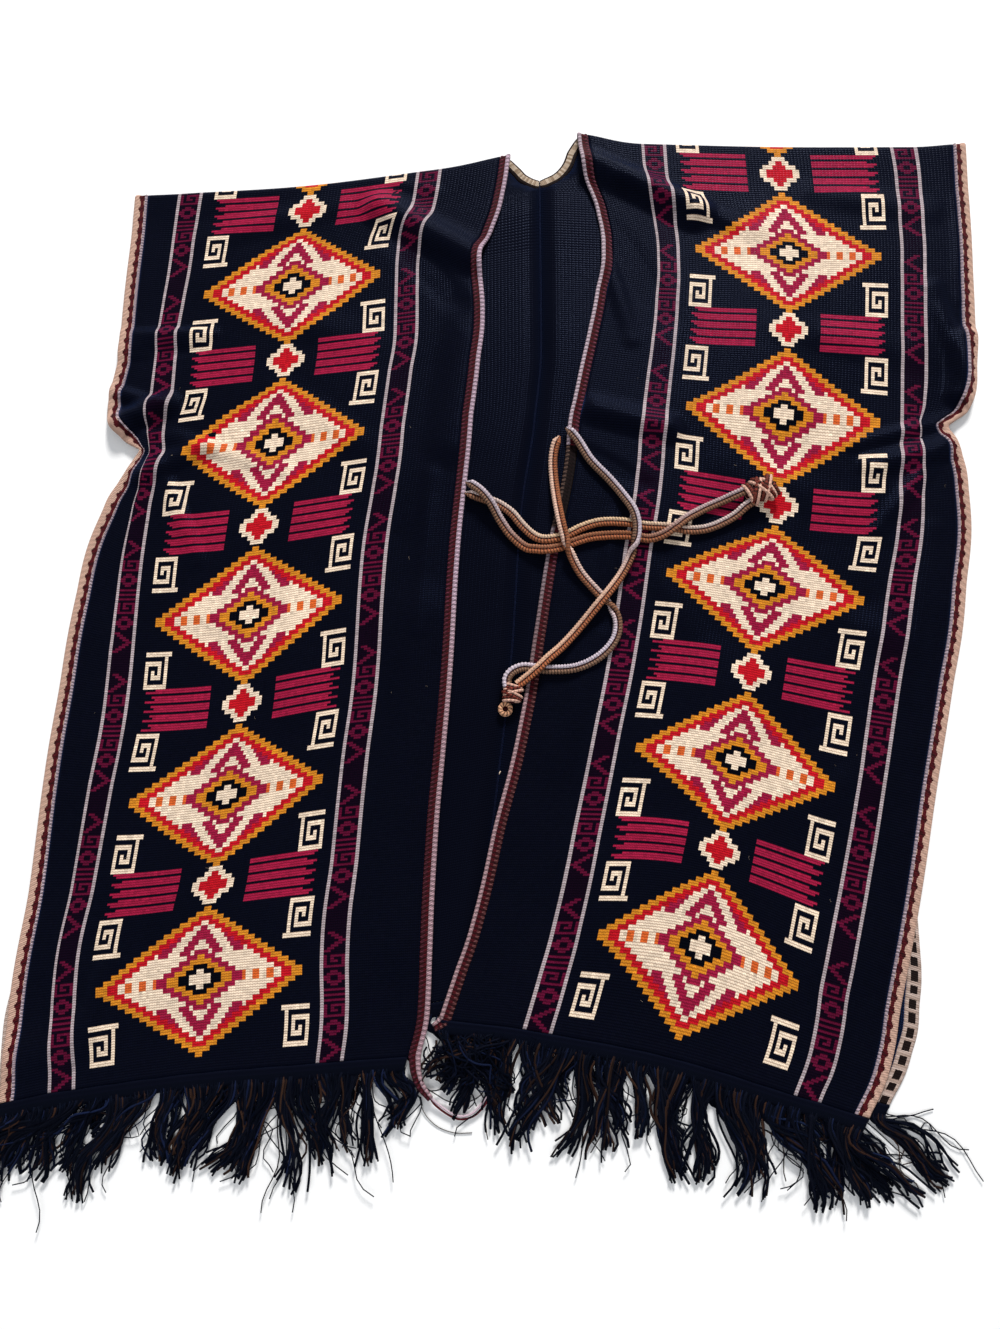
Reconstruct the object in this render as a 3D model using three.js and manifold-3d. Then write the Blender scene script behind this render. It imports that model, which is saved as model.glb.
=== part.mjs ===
// A sleeveless open-front poncho cardigan, laid flat on its back with its fronts lying on it.
//
// It is cut as two long knitted panels. Each one runs from the back hem, over a shoulder fold, to a front hem.
// The panels are sewn to each other down the centre back. A patterned band edges each side, a braid edges each
// front and the back neck, a header band with fringe ends each hem, and two doubled braids tie the fronts.
//
// Millimetres. +X is to the right and +Y towards the shoulders for someone who looks down at the garment from
// its hem. +Z is up. The underside of the back lies at z = 0, and the origin is under the middle of the box.

import * as THREE from 'three';
import { mergeVertices } from 'three/addons/utils/BufferGeometryUtils.js';
import Module from 'manifold-3d';

const wasm = await Module();
wasm.setup();

// Sizes of the cloth and of what edges it.
const CLOTH = 2.4;
const BRAID = 2.8;
const HEADER_THICK = 3.0;
const SIDE_BAND = 12;
const FRONT_BRAID = 10;
const HEADER = 12;
const SEAM_GAP = 0.3;
const PANEL_LENGTH = 820;
const PANEL_WIDTH = 350;

// Heights of the middle of each layer over the floor, and the roundness of the shoulder fold.
const BACK_LAYER = CLOTH / 2;
const FRONT_LAYER = 4.9;
const FOLD_RADIUS = 2.6;
const SHOULDER_SETTLE = 30;

// How far across a row, from the outer edge, the two pairs of cream lines have their middles.
const OUTER_STRIPE = 0.148;
const INNER_STRIPE = 0.787;

// The garment is drawn on a plane with its own zero, and moved by this much to centre its box.
const CENTRE = { x: -1, y: 38 };

// Sections of the left front, from the shoulder (down 0) to the hem (down 1). Each names the places of the outer
// edge, the two stripe pairs and the front edge. The armhole's tack pulls the outer edge in at down 0.325.
const LEFT_FRONT = [
  { down: 0, outer: [-341, 446], outerStripe: [-290, 449], innerStripe: [-67, 473], inner: [10, 490] },
  { down: 0.05, outer: [-342, 407], outerStripe: [-294, 409], innerStripe: [-73, 433], inner: [4, 448] },
  { down: 0.1, outer: [-344, 365], outerStripe: [-297, 369], innerStripe: [-85, 396], inner: [-7, 409] },
  { down: 0.14, outer: [-345, 332], outerStripe: [-301, 336], innerStripe: [-86, 364], inner: [-17, 377] },
  { down: 0.2, outer: [-346, 283], outerStripe: [-305, 289], innerStripe: [-86, 316], inner: [-14, 329] },
  { down: 0.26, outer: [-352, 234], outerStripe: [-306, 242], innerStripe: [-91, 268], inner: [-18, 280] },
  { down: 0.295, outer: [-338, 205], outerStripe: [-311, 214], innerStripe: [-94, 240], inner: [-21, 251] },
  { down: 0.325, outer: [-321, 193], outerStripe: [-310, 191], innerStripe: [-97, 216], inner: [-24, 227] },
  { down: 0.36, outer: [-337, 164], outerStripe: [-316, 162], innerStripe: [-99, 188], inner: [-26, 199] },
  { down: 0.4, outer: [-349, 139], outerStripe: [-320, 131], innerStripe: [-103, 157], inner: [-29, 167] },
  { down: 0.5, outer: [-367, 59], outerStripe: [-324, 52], innerStripe: [-112, 77], inner: [-36, 86] },
  { down: 0.6, outer: [-375, -23], outerStripe: [-326, -28], innerStripe: [-115, -3], inner: [-40, 5] },
  { down: 0.7, outer: [-382, -105], outerStripe: [-335, -107], innerStripe: [-123, -83], inner: [-46, -76] },
  { down: 0.8, outer: [-386, -188], outerStripe: [-344, -187], innerStripe: [-129, -163], inner: [-52, -157] },
  { down: 0.9, outer: [-394, -270], outerStripe: [-353, -266], innerStripe: [-135, -243], inner: [-55, -239] },
  { down: 1, outer: [-396, -354], outerStripe: [-348, -345], innerStripe: [-136, -323], inner: [-63, -318] },
];

// Sections of the right front, read the same way.
const RIGHT_FRONT = [
  { down: 0, outer: [440, 502], outerStripe: [381, 498], innerStripe: [145, 501], inner: [73, 513] },
  { down: 0.05, outer: [439, 457], outerStripe: [384, 455], innerStripe: [147, 460], inner: [78, 470] },
  { down: 0.1, outer: [438, 412], outerStripe: [384, 411], innerStripe: [153, 420], inner: [90, 431] },
  { down: 0.15, outer: [436, 366], outerStripe: [382, 368], innerStripe: [155, 380], inner: [94, 390] },
  { down: 0.2, outer: [434, 321], outerStripe: [379, 325], innerStripe: [153, 340], inner: [88, 349] },
  { down: 0.25, outer: [431, 276], outerStripe: [376, 282], innerStripe: [149, 300], inner: [80, 308] },
  { down: 0.295, outer: [422, 235], outerStripe: [373, 242], innerStripe: [144, 263], inner: [72, 272] },
  { down: 0.325, outer: [401, 215], outerStripe: [371, 218], innerStripe: [141, 240], inner: [67, 248] },
  { down: 0.36, outer: [411, 190], outerStripe: [368, 188], innerStripe: [137, 211], inner: [61, 219] },
  { down: 0.4, outer: [414, 156], outerStripe: [365, 153], innerStripe: [134, 179], inner: [58, 187] },
  { down: 0.5, outer: [404, 66], outerStripe: [349, 69], innerStripe: [121, 100], inner: [42, 106] },
  { down: 0.6, outer: [385, -22], outerStripe: [329, -15], innerStripe: [108, 20], inner: [29, 25] },
  { down: 0.7, outer: [364, -110], outerStripe: [311, -100], innerStripe: [91, -59], inner: [15, -57] },
  { down: 0.8, outer: [344, -198], outerStripe: [291, -184], innerStripe: [74, -138], inner: [-5, -137] },
  { down: 0.9, outer: [321, -285], outerStripe: [270, -267], innerStripe: [56, -217], inner: [-24, -217] },
  { down: 1, outer: [291, -365], outerStripe: [244, -351], innerStripe: [31, -300], inner: [-49, -290] },
];

// The centre back seam, from the neck down to the back hem.
const SEAM = [
  { y: 455, x: 37.2 },
  { y: 322, x: 37.5 },
  { y: 224, x: 31 },
  { y: 140, x: 19 },
  { y: 10, x: 10 },
  { y: -91, x: -1 },
  { y: -272, x: -22 },
];

// The outer edges of the back, which show past the fronts near the hem. seamY is where the same row meets the seam.
const LEFT_BACK = [
  { down: 0.075, outer: [-342, 386], seamY: 446 },
  { down: 0.15, outer: [-343, 326], seamY: 387 },
  { down: 0.26, outer: [-342, 238], seamY: 302 },
  { down: 0.325, outer: [-322, 192], seamY: 251 },
  { down: 0.4, outer: [-343, 138], seamY: 194 },
  { down: 0.5, outer: [-361, 58], seamY: 116 },
  { down: 0.6, outer: [-370, -23], seamY: 38 },
  { down: 0.7, outer: [-377, -104], seamY: -39 },
  { down: 0.8, outer: [-383, -186], seamY: -117 },
  { down: 0.9, outer: [-397, -266], seamY: -195 },
  { down: 0.95, outer: [-403, -306], seamY: -233 },
  { down: 1, outer: [-401, -346], seamY: -272 },
];
const RIGHT_BACK = [
  { down: 0.075, outer: [436, 434], seamY: 446 },
  { down: 0.15, outer: [431, 366], seamY: 387 },
  { down: 0.26, outer: [423, 266], seamY: 302 },
  { down: 0.325, outer: [402, 214], seamY: 251 },
  { down: 0.4, outer: [409, 156], seamY: 194 },
  { down: 0.5, outer: [399, 66], seamY: 116 },
  { down: 0.6, outer: [380, -22], seamY: 38 },
  { down: 0.7, outer: [360, -110], seamY: -39 },
  { down: 0.8, outer: [343, -190], seamY: -117 },
  { down: 0.85, outer: [345, -236], seamY: -156 },
  { down: 0.9, outer: [338, -282], seamY: -195 },
  { down: 0.95, outer: [324, -318], seamY: -233 },
  { down: 1, outer: [309, -356], seamY: -272 },
];

// The back neck, from each shoulder's point down to the head of the seam.
const LEFT_NECK = [[10, 490], [20, 476], [27.5, 468.5], [37.2, 464]];
const RIGHT_NECK = [[73, 513], [64, 495], [56, 477], [37.2, 464]];

// Ridges of the fronts' largest folds: where each runs, its half width and its height.
const LEFT_FOLDS = [
  { from: [-112, 434], to: [-18, 379], halfWidth: 24, height: 9 },
  { from: [-24, 340], to: [-45, 200], halfWidth: 30, height: 3 },
  { from: [-338, 218], to: [-300, 236], halfWidth: 17, height: 10 },
  { from: [-318, 170], to: [-262, 196], halfWidth: 15, height: 5 },
  { from: [-342, 290], to: [-275, 300], halfWidth: 15, height: 4 },
  { from: [-250, 120], to: [-290, -250], halfWidth: 70, height: 3 },
  { from: [-72, 40], to: [-80, -230], halfWidth: 42, height: 3.5 },
  { from: [-382, -320], to: [-330, -300], halfWidth: 26, height: 4 },
];
const RIGHT_FOLDS = [
  { from: [84, 482], to: [180, 428], halfWidth: 24, height: 9 },
  { from: [86, 232], to: [150, 214], halfWidth: 19, height: 7 },
  { from: [424, 300], to: [412, 246], halfWidth: 17, height: 7 },
  { from: [396, 196], to: [330, 178], halfWidth: 16, height: 5 },
  { from: [250, 400], to: [240, 240], halfWidth: 60, height: 3 },
  { from: [180, -20], to: [110, -230], halfWidth: 60, height: 3 },
  { from: [330, 20], to: [275, -240], halfWidth: 42, height: 3.5 },
];

// Rows down a panel, closer together at the shoulder, the armhole's tack and the main folds.
const FRONT_ROWS = [
  0.02, 0.045, 0.07, 0.095, 0.12, 0.145, 0.175, 0.21, 0.24, 0.262, 0.282, 0.305, 0.325, 0.345, 0.37, 0.41,
  0.46, 0.52, 0.58, 0.64, 0.7, 0.76, 0.82, 0.88, 0.92, 0.96, 1,
];
const BACK_ROWS = [1, 0.95, 0.9, 0.85, 0.8, 0.7, 0.6, 0.5, 0.4, 0.36, 0.325, 0.29, 0.26, 0.15, 0.075];
const NECK_ROWS = [0.05, 0.025];
const NECK_SHARES = [1, 2 / 3, 1 / 3];
const FOLD_TURNS = [-60, -20, 20, 60];
const PANEL_COLUMNS = [0, 0.05, 0.1, 0.17, 0.25, 0.34, 0.44, 0.54, 0.64, 0.73, 0.81, 0.88, 0.94, 1];

// Steps, as shares, by which the slope of a front or of the neck's edge is taken.
const SLOPE_STEP = 0.004;
const NECK_STEP = 0.01;

// Fringe: locks of three sides, thick at the root and rooted inside the header. Their tips gather into tufts, and
// two waves make their lengths uneven. The header follows the cloth's lowest rows.
const HEADER_COLUMNS = 16;
const HEADER_SETTLE = 0.1;
const NEAR_HEM = 0.97;
const LOCK = { root: 1.5, tip: 0.8, sides: 3, bend: 0.55, rooted: 1.5 };
const TUFT = { pitch: 24, pull: 0.72 };
const UNEVEN = [{ share: 0.08, turn: 7.3 }, { share: 0.05, turn: 2.9 }];

// Lean of the locks from straight down, in degrees towards +X, and their length, along each hem from its outer end.
const FRINGES = {
  front_left_fringe: { locks: 62, height: 4.8, end: 4.4, lean: [-46, -30, -20, -8, 12], length: [70, 78, 82, 84, 66] },
  front_right_fringe: { locks: 62, height: 4.8, end: 4.4, lean: [38, 24, 12, 14, 30], length: [74, 80, 86, 84, 48] },
  back_left_fringe: { locks: 46, height: 1.5, end: 1.5, lean: [-42, -20, -6, 4, 10], length: [72, 60, 58, 56, 58] },
  back_right_fringe: { locks: 46, height: 1.5, end: 1.5, lean: [44, 34, 16, 6, 6], length: [80, 70, 58, 56, 58] },
};

// The left front's braid runs on past the hem as a loose tail that thins out.
const BRAID_TAIL = [
  { at: [-67, -330], width: 8.5 },
  { at: [-63, -341], width: 7 },
  { at: [-55, -351], width: 5 },
];

// Ties: braids 7 mm wide and 4.6 mm thick. Each route runs from the front edge to the knot.
const TIE_WIDTH = 7;
const TIE_THICK = 4.6;
const TIE_SIDES = 8;
const TIE_STEP = 18;
const TIES = {
  left_tie_a: [
    [-30, 163, 9.1], [-24, 159, 10.6], [-16, 152, 12.4], [-8, 142, 11.4], [0, 128, 7.4], [10, 114, 5.4],
    [23, 103, 5.3], [31, 101, 7.8], [39, 100, 9.7], [51, 102, 9.1], [62, 106, 9.1], [77, 111, 9.1],
    [93, 113, 9.1], [114, 113, 9.1], [130, 110, 9.6], [142, 113, 12.6], [153, 120, 14.6], [163, 128, 12.4],
    [180, 138, 9.2], [196, 145, 9.6], [206, 149, 12.4], [214.7, 152.2, 15.0],
  ],
  left_tie_b: [
    [-31, 153, 9.1], [-24, 150.5, 8.6], [-14, 147.5, 6.4], [-3, 144, 5.2], [10, 135, 5.2], [19, 124, 5.2],
    [28, 115, 5.6], [35, 110.5, 7.8], [42, 109.5, 9.3], [57, 113, 9.1], [71, 120, 9.1], [87, 125, 9.1],
    [110, 125, 9.1], [126, 122, 9.1], [142, 121, 9.1], [153, 120, 9.1], [163, 118, 9.1], [179, 119, 9.1],
    [195, 125, 9.2], [207, 132, 10.4], [214, 138, 12.6], [221.0, 142.7, 14.6],
  ],
  right_tie_a: [
    [59, 214, 9.1], [68, 203, 9.1], [80, 183, 9.1], [96, 165, 9.4], [108, 149, 11.0], [116, 135, 14.2],
    [119, 122, 14.9], [118, 109, 14.4], [112, 91, 10.6], [104, 76, 11.2], [94, 62, 14.9], [85, 51, 14.9],
    [75, 39, 11.2], [64, 26, 9.6], [52, 13, 11.4], [41, 3, 14.2], [33, -5, 14.6], [26, -11, 12.8],
    [19, -16.5, 11.2], [14.6, -19.7, 10.6],
  ],
  right_tie_b: [
    [53, 206, 9.1], [49, 197, 7.4], [47, 184, 5.4], [47.5, 168, 5.4], [49, 152, 8.0], [51, 136, 12.4],
    [53, 124, 14.6], [56, 111, 14.7], [60, 98, 13.6], [69, 80, 10.0], [83, 63, 9.1], [96, 49, 9.1],
    [101, 36, 9.1], [99, 22, 9.1], [87, 7, 9.1], [66, -4, 9.1], [43, -6, 9.1], [31, -5, 9.1], [19, -4, 9.1],
    [10, -8, 9.4], [6, -14, 10.0], [6.4, -21.6, 10.4],
  ],
};

// Knots: a body wound by turns of the braid. A small eye of braid hangs from the right one.
const KNOTS = {
  left_tie_knot: { at: [228, 155, 14.6], half: [13, 10.5, 6.2], turn: 20 },
  right_tie_knot: { at: [9, -28.5, 10], half: [6.8, 6, 4.6], turn: 80, eye: [5, -40, 5.4] },
};
const KNOT_FACETS = { round: 12, along: 8 };
const KNOT_TURNS = [-0.45, 0.15, 0.65];
const KNOT_TURN_LEAN = 25;
const KNOT_TURN_RADIUS = 2.6;
const EYE_RADIUS = 4.9;
const EYE_WIRE = 2.5;
const RING_SIDES = 6;

const COLOURS = {
  cloth: 0x14182a,
  side: 0xd9c4ae,
  front: 0x5a1626,
  fringe: 0x0b0c12,
  tie: 0xb29478,
};

// A smooth curve through values at rising places, without overshoot.
function smoothCurve(places, values) {
  const count = places.length;
  const slopes = places.slice(1).map((place, i) => (values[i + 1] - values[i]) / (place - places[i]));
  const tangents = places.map((place, i) => {
    if (i === 0) return slopes[0];
    if (i === count - 1) return slopes[count - 2];
    const before = slopes[i - 1];
    const after = slopes[i];
    return before * after <= 0 ? 0 : (2 * before * after) / (before + after);
  });
  return (place) => {
    let i = 0;
    while (i < count - 2 && place > places[i + 1]) i += 1;
    const span = places[i + 1] - places[i];
    const t = (place - places[i]) / span;
    const start = values[i] + tangents[i] * span * t;
    const end = values[i + 1] - tangents[i + 1] * span * (1 - t);
    const ease = t * t * (3 - 2 * t);
    return THREE.MathUtils.lerp(start, end, ease);
  };
}

function smoothLine(places, points) {
  const x = smoothCurve(places, points.map((point) => point[0]));
  const y = smoothCurve(places, points.map((point) => point[1]));
  return (place) => [x(place), y(place)];
}

function moved(from, towards, distance) {
  const length = Math.hypot(towards[0] - from[0], towards[1] - from[1]);
  const share = distance / length;
  return [from[0] + (towards[0] - from[0]) * share, from[1] + (towards[1] - from[1]) * share];
}

const between = (a, b, share) => [a[0] + (b[0] - a[0]) * share, a[1] + (b[1] - a[1]) * share];
const distance = (a, b) => Math.hypot(a[0] - b[0], a[1] - b[1]);

// A row of a layer as a curve from its outer edge (across 0) to its inner one (across 1). The side band keeps its
// width where the tack gathers the cloth beside it.
function rowCurve(row) {
  const band = Math.min(SIDE_BAND, 0.5 * distance(row.outer, row.outerStripe));
  const besideBand = moved(row.outer, row.outerStripe, band);
  const besideBraid = moved(row.inner, row.innerStripe, FRONT_BRAID);
  const places = [0, SIDE_BAND / PANEL_WIDTH, OUTER_STRIPE, INNER_STRIPE, 1 - FRONT_BRAID / PANEL_WIDTH, 1];
  const points = [row.outer, besideBand, row.outerStripe, row.innerStripe, besideBraid, row.inner];
  return smoothLine(places, points);
}

// A layer's plan: the place at a share down the panel and a share across it.
function layerPlan(rows) {
  const downs = rows.map((row) => row.down);
  const columns = {};
  for (const name of ['outer', 'outerStripe', 'innerStripe', 'inner']) {
    columns[name] = smoothLine(downs, rows.map((row) => row[name]));
  }
  return (down, across) => {
    const row = {};
    for (const name of Object.keys(columns)) row[name] = columns[name](down);
    return rowCurve(row)(across);
  };
}

const seamX = smoothCurve(SEAM.map((row) => -row.y), SEAM.map((row) => row.x));

// The neck's edge, and the same edge moved in over the cloth.
function neckEdge(neck, side) {
  const places = neck.map((point, i) => i / (neck.length - 1));
  const edge = smoothLine(places, neck);
  return (share, inset) => {
    const here = edge(share);
    const near = edge(share - NECK_STEP);
    const tangent = [here[0] - near[0], here[1] - near[1]];
    const length = Math.hypot(tangent[0], tangent[1]);
    const inward = [(side * tangent[1]) / length, (-side * tangent[0]) / length];
    const point = [here[0] + inward[0] * inset, here[1] + inward[1] * inset];
    if (share === 1) point[0] = here[0] - side * SEAM_GAP / 2;
    return point;
  };
}

// The back's rows get their inner ends from the neck's edge and the seam.
function backRows(table, front, neck, side) {
  const shoulder = { ...front[0], inner: moved(front[0].inner, front[0].innerStripe, FRONT_BRAID + SEAM_GAP) };
  const underNeck = NECK_ROWS.slice().reverse().map((down, i) => {
    const outer = between(front[0].outer, table[0].outer, down / table[0].down);
    return { down, outer, inner: neck(NECK_SHARES[2 - i], FRONT_BRAID + SEAM_GAP) };
  });
  const alongSeam = table.map((row, i) => {
    const y = i === 0 ? neck(1, FRONT_BRAID + SEAM_GAP)[1] : row.seamY;
    return { down: row.down, outer: row.outer, inner: [seamX(-y) - side * SEAM_GAP / 2, y] };
  });
  const filled = [...underNeck, ...alongSeam].map((row) => ({
    ...row,
    outerStripe: between(row.outer, row.inner, OUTER_STRIPE),
    innerStripe: between(row.outer, row.inner, INNER_STRIPE),
  }));
  return [shoulder, ...filled];
}

// Height that the folds add at a place: each is a rounded ridge along its line.
function foldHeight(folds, x, y) {
  let height = 0;
  for (const fold of folds) {
    const run = [fold.to[0] - fold.from[0], fold.to[1] - fold.from[1]];
    const along = ((x - fold.from[0]) * run[0] + (y - fold.from[1]) * run[1]) / (run[0] ** 2 + run[1] ** 2);
    const nearest = between(fold.from, fold.to, THREE.MathUtils.clamp(along, 0, 1));
    const away = distance(nearest, [x, y]) / fold.halfWidth;
    if (away < 1) height += fold.height * 0.5 * (1 + Math.cos(Math.PI * away));
  }
  return height;
}

// Everything that a side's pieces are made from.
function makeSide(side, front, back, neckPoints, folds) {
  const frontPlan = layerPlan(front);
  const neck = neckEdge(neckPoints, side);
  const backPlan = layerPlan(backRows(back, front, neck, side));
  const frontPoint = (down, across) => {
    const [x, y] = frontPlan(down, across);
    const lift = 2 * FOLD_RADIUS + BACK_LAYER - FRONT_LAYER;
    const settle = Math.exp(-((down * PANEL_LENGTH / SHOULDER_SETTLE) ** 2));
    const open = Math.min(1, down * PANEL_LENGTH / SHOULDER_SETTLE);
    return new THREE.Vector3(x, y, FRONT_LAYER + lift * settle + open * foldHeight(folds, x, y));
  };
  return { side, frontPlan, backPlan, frontPoint, neck };
}

// One point of the cloth's middle with its outward direction.
function frontSpot(part, down, across) {
  const point = part.frontPoint(down, across);
  const alongRow = part.frontPoint(down, across + SLOPE_STEP).sub(part.frontPoint(down, across - SLOPE_STEP));
  const higher = Math.max(0, down - SLOPE_STEP);
  const downPanel = part.frontPoint(down + SLOPE_STEP, across).sub(part.frontPoint(higher, across));
  const normal = alongRow.cross(downPanel).normalize();
  if (normal.z < 0) normal.negate();
  return { point, normal };
}

function backSpot(x, y, middle) {
  return { point: new THREE.Vector3(x, y, middle), normal: new THREE.Vector3(0, 0, -1) };
}

// The shoulder's fold, turned from the back (-90 degrees) to the front (90). Where it starts on the front is the
// fold's own depth in from the shoulder line.
const foldDown = (thick) => (FOLD_RADIUS + thick / 2) / PANEL_LENGTH;

function foldSpot(part, across, degrees, thick) {
  const edge = part.frontPlan(0, across);
  const inside = part.frontPlan(foldDown(thick), across);
  const centre = new THREE.Vector3(inside[0], inside[1], thick / 2 + FOLD_RADIUS);
  const out = new THREE.Vector3(edge[0] - inside[0], edge[1] - inside[1], 0).normalize();
  const turn = THREE.MathUtils.degToRad(degrees);
  const normal = out.multiplyScalar(Math.cos(turn)).setZ(Math.sin(turn));
  const point = centre.addScaledVector(normal, FOLD_RADIUS);
  return { point, normal: normal.clone() };
}

// A closed wall of even thickness round rows of spots. The rows all have the same count.
function wall(rows, thickness) {
  const columns = rows[0].length;
  const count = rows.length * columns;
  const positions = [];
  for (const face of [1, -1]) {
    for (const row of rows) {
      for (const spot of row) {
        const thick = spot.thick ?? thickness;
        const point = spot.point.clone().addScaledVector(spot.normal, face * thick / 2);
        positions.push(point.x, point.y, point.z);
      }
    }
  }
  const triangles = [];
  const quad = (a, b, c, d) => triangles.push(a, b, c, a, c, d);
  for (let i = 0; i < rows.length - 1; i += 1) {
    for (let j = 0; j < columns - 1; j += 1) {
      const a = i * columns + j;
      quad(a, a + columns, a + columns + 1, a + 1);
      quad(count + a, count + a + 1, count + a + columns + 1, count + a + columns);
    }
    const first = i * columns;
    const last = first + columns - 1;
    quad(first, count + first, count + first + columns, first + columns);
    quad(last, last + columns, count + last + columns, count + last);
  }
  const end = (rows.length - 1) * columns;
  for (let j = 0; j < columns - 1; j += 1) {
    quad(j, j + 1, count + j + 1, count + j);
    quad(end + j, count + end + j, count + end + j + 1, end + j + 1);
  }
  return closedBody(positions, triangles);
}

// A body from points and triangles, with its faces turned out.
function closedBody(positions, triangles) {
  const at = (i) => new THREE.Vector3(positions[3 * i], positions[3 * i + 1], positions[3 * i + 2]);
  let volume = 0;
  for (let i = 0; i < triangles.length; i += 3) {
    volume += at(triangles[i]).dot(at(triangles[i + 1]).cross(at(triangles[i + 2])));
  }
  if (volume < 0) triangles.reverse();
  const geometry = new THREE.BufferGeometry();
  geometry.setAttribute('position', new THREE.Float32BufferAttribute(positions, 3));
  geometry.setIndex(triangles);
  return geometry;
}

// The rows of a strip that starts at the back, turns over the shoulder and runs down the front. acrossOf gives the
// strip's places across a front row, and backPoints its points on the back at a share down, or null for none.
function foldedRows(part, thick, backDowns, backPoints, acrossOf) {
  const rows = [];
  for (const down of backDowns) {
    rows.push(backPoints(down).map(([x, y]) => backSpot(x, y, thick / 2)));
  }
  const shoulder = acrossOf(0);
  for (const degrees of [-90, ...FOLD_TURNS]) {
    rows.push(shoulder.map((across) => foldSpot(part, across, degrees, thick)));
  }
  for (const down of [foldDown(thick), ...FRONT_ROWS]) {
    rows.push(acrossOf(down).map((across) => frontSpot(part, down, across)));
  }
  return rows;
}

const bandEnd = SIDE_BAND / PANEL_WIDTH;
const braidStart = 1 - FRONT_BRAID / PANEL_WIDTH;
const gapShare = SEAM_GAP / PANEL_WIDTH;

// The band's true width is less at the tack, so its gap share grows there.
function gapAt(part, down) {
  const whole = distance(part.frontPlan(down, 0), part.frontPlan(down, bandEnd));
  return gapShare * Math.max(1, SIDE_BAND / whole);
}

function panel(part) {
  const acrossOf = (down) => {
    const start = bandEnd + gapAt(part, down);
    const end = braidStart - gapShare;
    return PANEL_COLUMNS.map((share) => start + (end - start) * share);
  };
  const backPoints = (down) => {
    const start = bandEnd + gapAt(part, down);
    return PANEL_COLUMNS.map((share) => part.backPlan(down, start + (1 - start) * share));
  };
  return wall(foldedRows(part, CLOTH, [...BACK_ROWS, ...NECK_ROWS], backPoints, acrossOf), CLOTH);
}

function sideBand(part) {
  const places = [0, bandEnd / 2, bandEnd];
  const backPoints = (down) => places.map((across) => part.backPlan(down, across));
  return wall(foldedRows(part, BRAID, [...BACK_ROWS, ...NECK_ROWS], backPoints, () => places), BRAID);
}

function frontBraid(part, tail) {
  const places = [braidStart, 1];
  const backPoints = (share) => [part.neck(share, FRONT_BRAID), part.neck(share, 0)];
  const rows = foldedRows(part, BRAID, NECK_SHARES, backPoints, () => places);
  const end = rows[rows.length - 1];
  for (let i = 0; i < tail.length; i += 1) {
    const { at, width } = tail[i];
    const before = i === 0 ? [end[1].point.x, end[1].point.y] : tail[i - 1].at;
    const heading = [at[0] - before[0], at[1] - before[1]];
    const length = Math.hypot(heading[0], heading[1]);
    const half = [(-heading[1] / length) * width / 2, (heading[0] / length) * width / 2];
    rows.push([1, -1].map((turn) => ({
      point: new THREE.Vector3(at[0] - turn * half[0], at[1] - turn * half[1], end[0].point.z),
      normal: new THREE.Vector3(0, 0, 1),
      thick: BRAID * width / FRONT_BRAID,
    })));
  }
  return wall(rows, BRAID);
}

function toSolid(geometry) {
  return new wasm.Manifold(new wasm.Mesh({
    numProp: 3,
    vertProperties: new Float32Array(geometry.getAttribute('position').array),
    triVerts: new Uint32Array(geometry.getIndex().array),
  }));
}

function fromSolid(solid) {
  const mesh = solid.getMesh();
  const geometry = new THREE.BufferGeometry();
  geometry.setAttribute('position', new THREE.Float32BufferAttribute(mesh.vertProperties, 3));
  geometry.setIndex(new THREE.Uint32BufferAttribute(mesh.triVerts, 1));
  return geometry;
}

// One lock: a tapered prism through three points.
function lock(points) {
  const radii = [LOCK.root, LOCK.root, LOCK.tip];
  const positions = [];
  points.forEach((point, i) => {
    const heading = points[Math.min(i + 1, 2)].clone().sub(points[Math.max(i - 1, 0)]).normalize();
    const sideways = new THREE.Vector3(0, 0, 1).cross(heading).normalize();
    const up = heading.clone().cross(sideways);
    for (let k = 0; k < LOCK.sides; k += 1) {
      const turn = (2 * Math.PI * k) / LOCK.sides + Math.PI / 2;
      const spot = point.clone();
      spot.addScaledVector(sideways, radii[i] * Math.cos(turn)).addScaledVector(up, radii[i] * Math.sin(turn));
      positions.push(spot.x, spot.y, spot.z);
    }
  });
  const triangles = [];
  for (let i = 0; i < points.length - 1; i += 1) {
    for (let k = 0; k < LOCK.sides; k += 1) {
      const a = i * LOCK.sides + k;
      const b = i * LOCK.sides + ((k + 1) % LOCK.sides);
      triangles.push(a, b, b + LOCK.sides, a, b + LOCK.sides, a + LOCK.sides);
    }
  }
  const last = LOCK.sides * (points.length - 1);
  triangles.push(0, 2, 1, last, last + 1, last + 2);
  return closedBody(positions, triangles);
}

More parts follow.
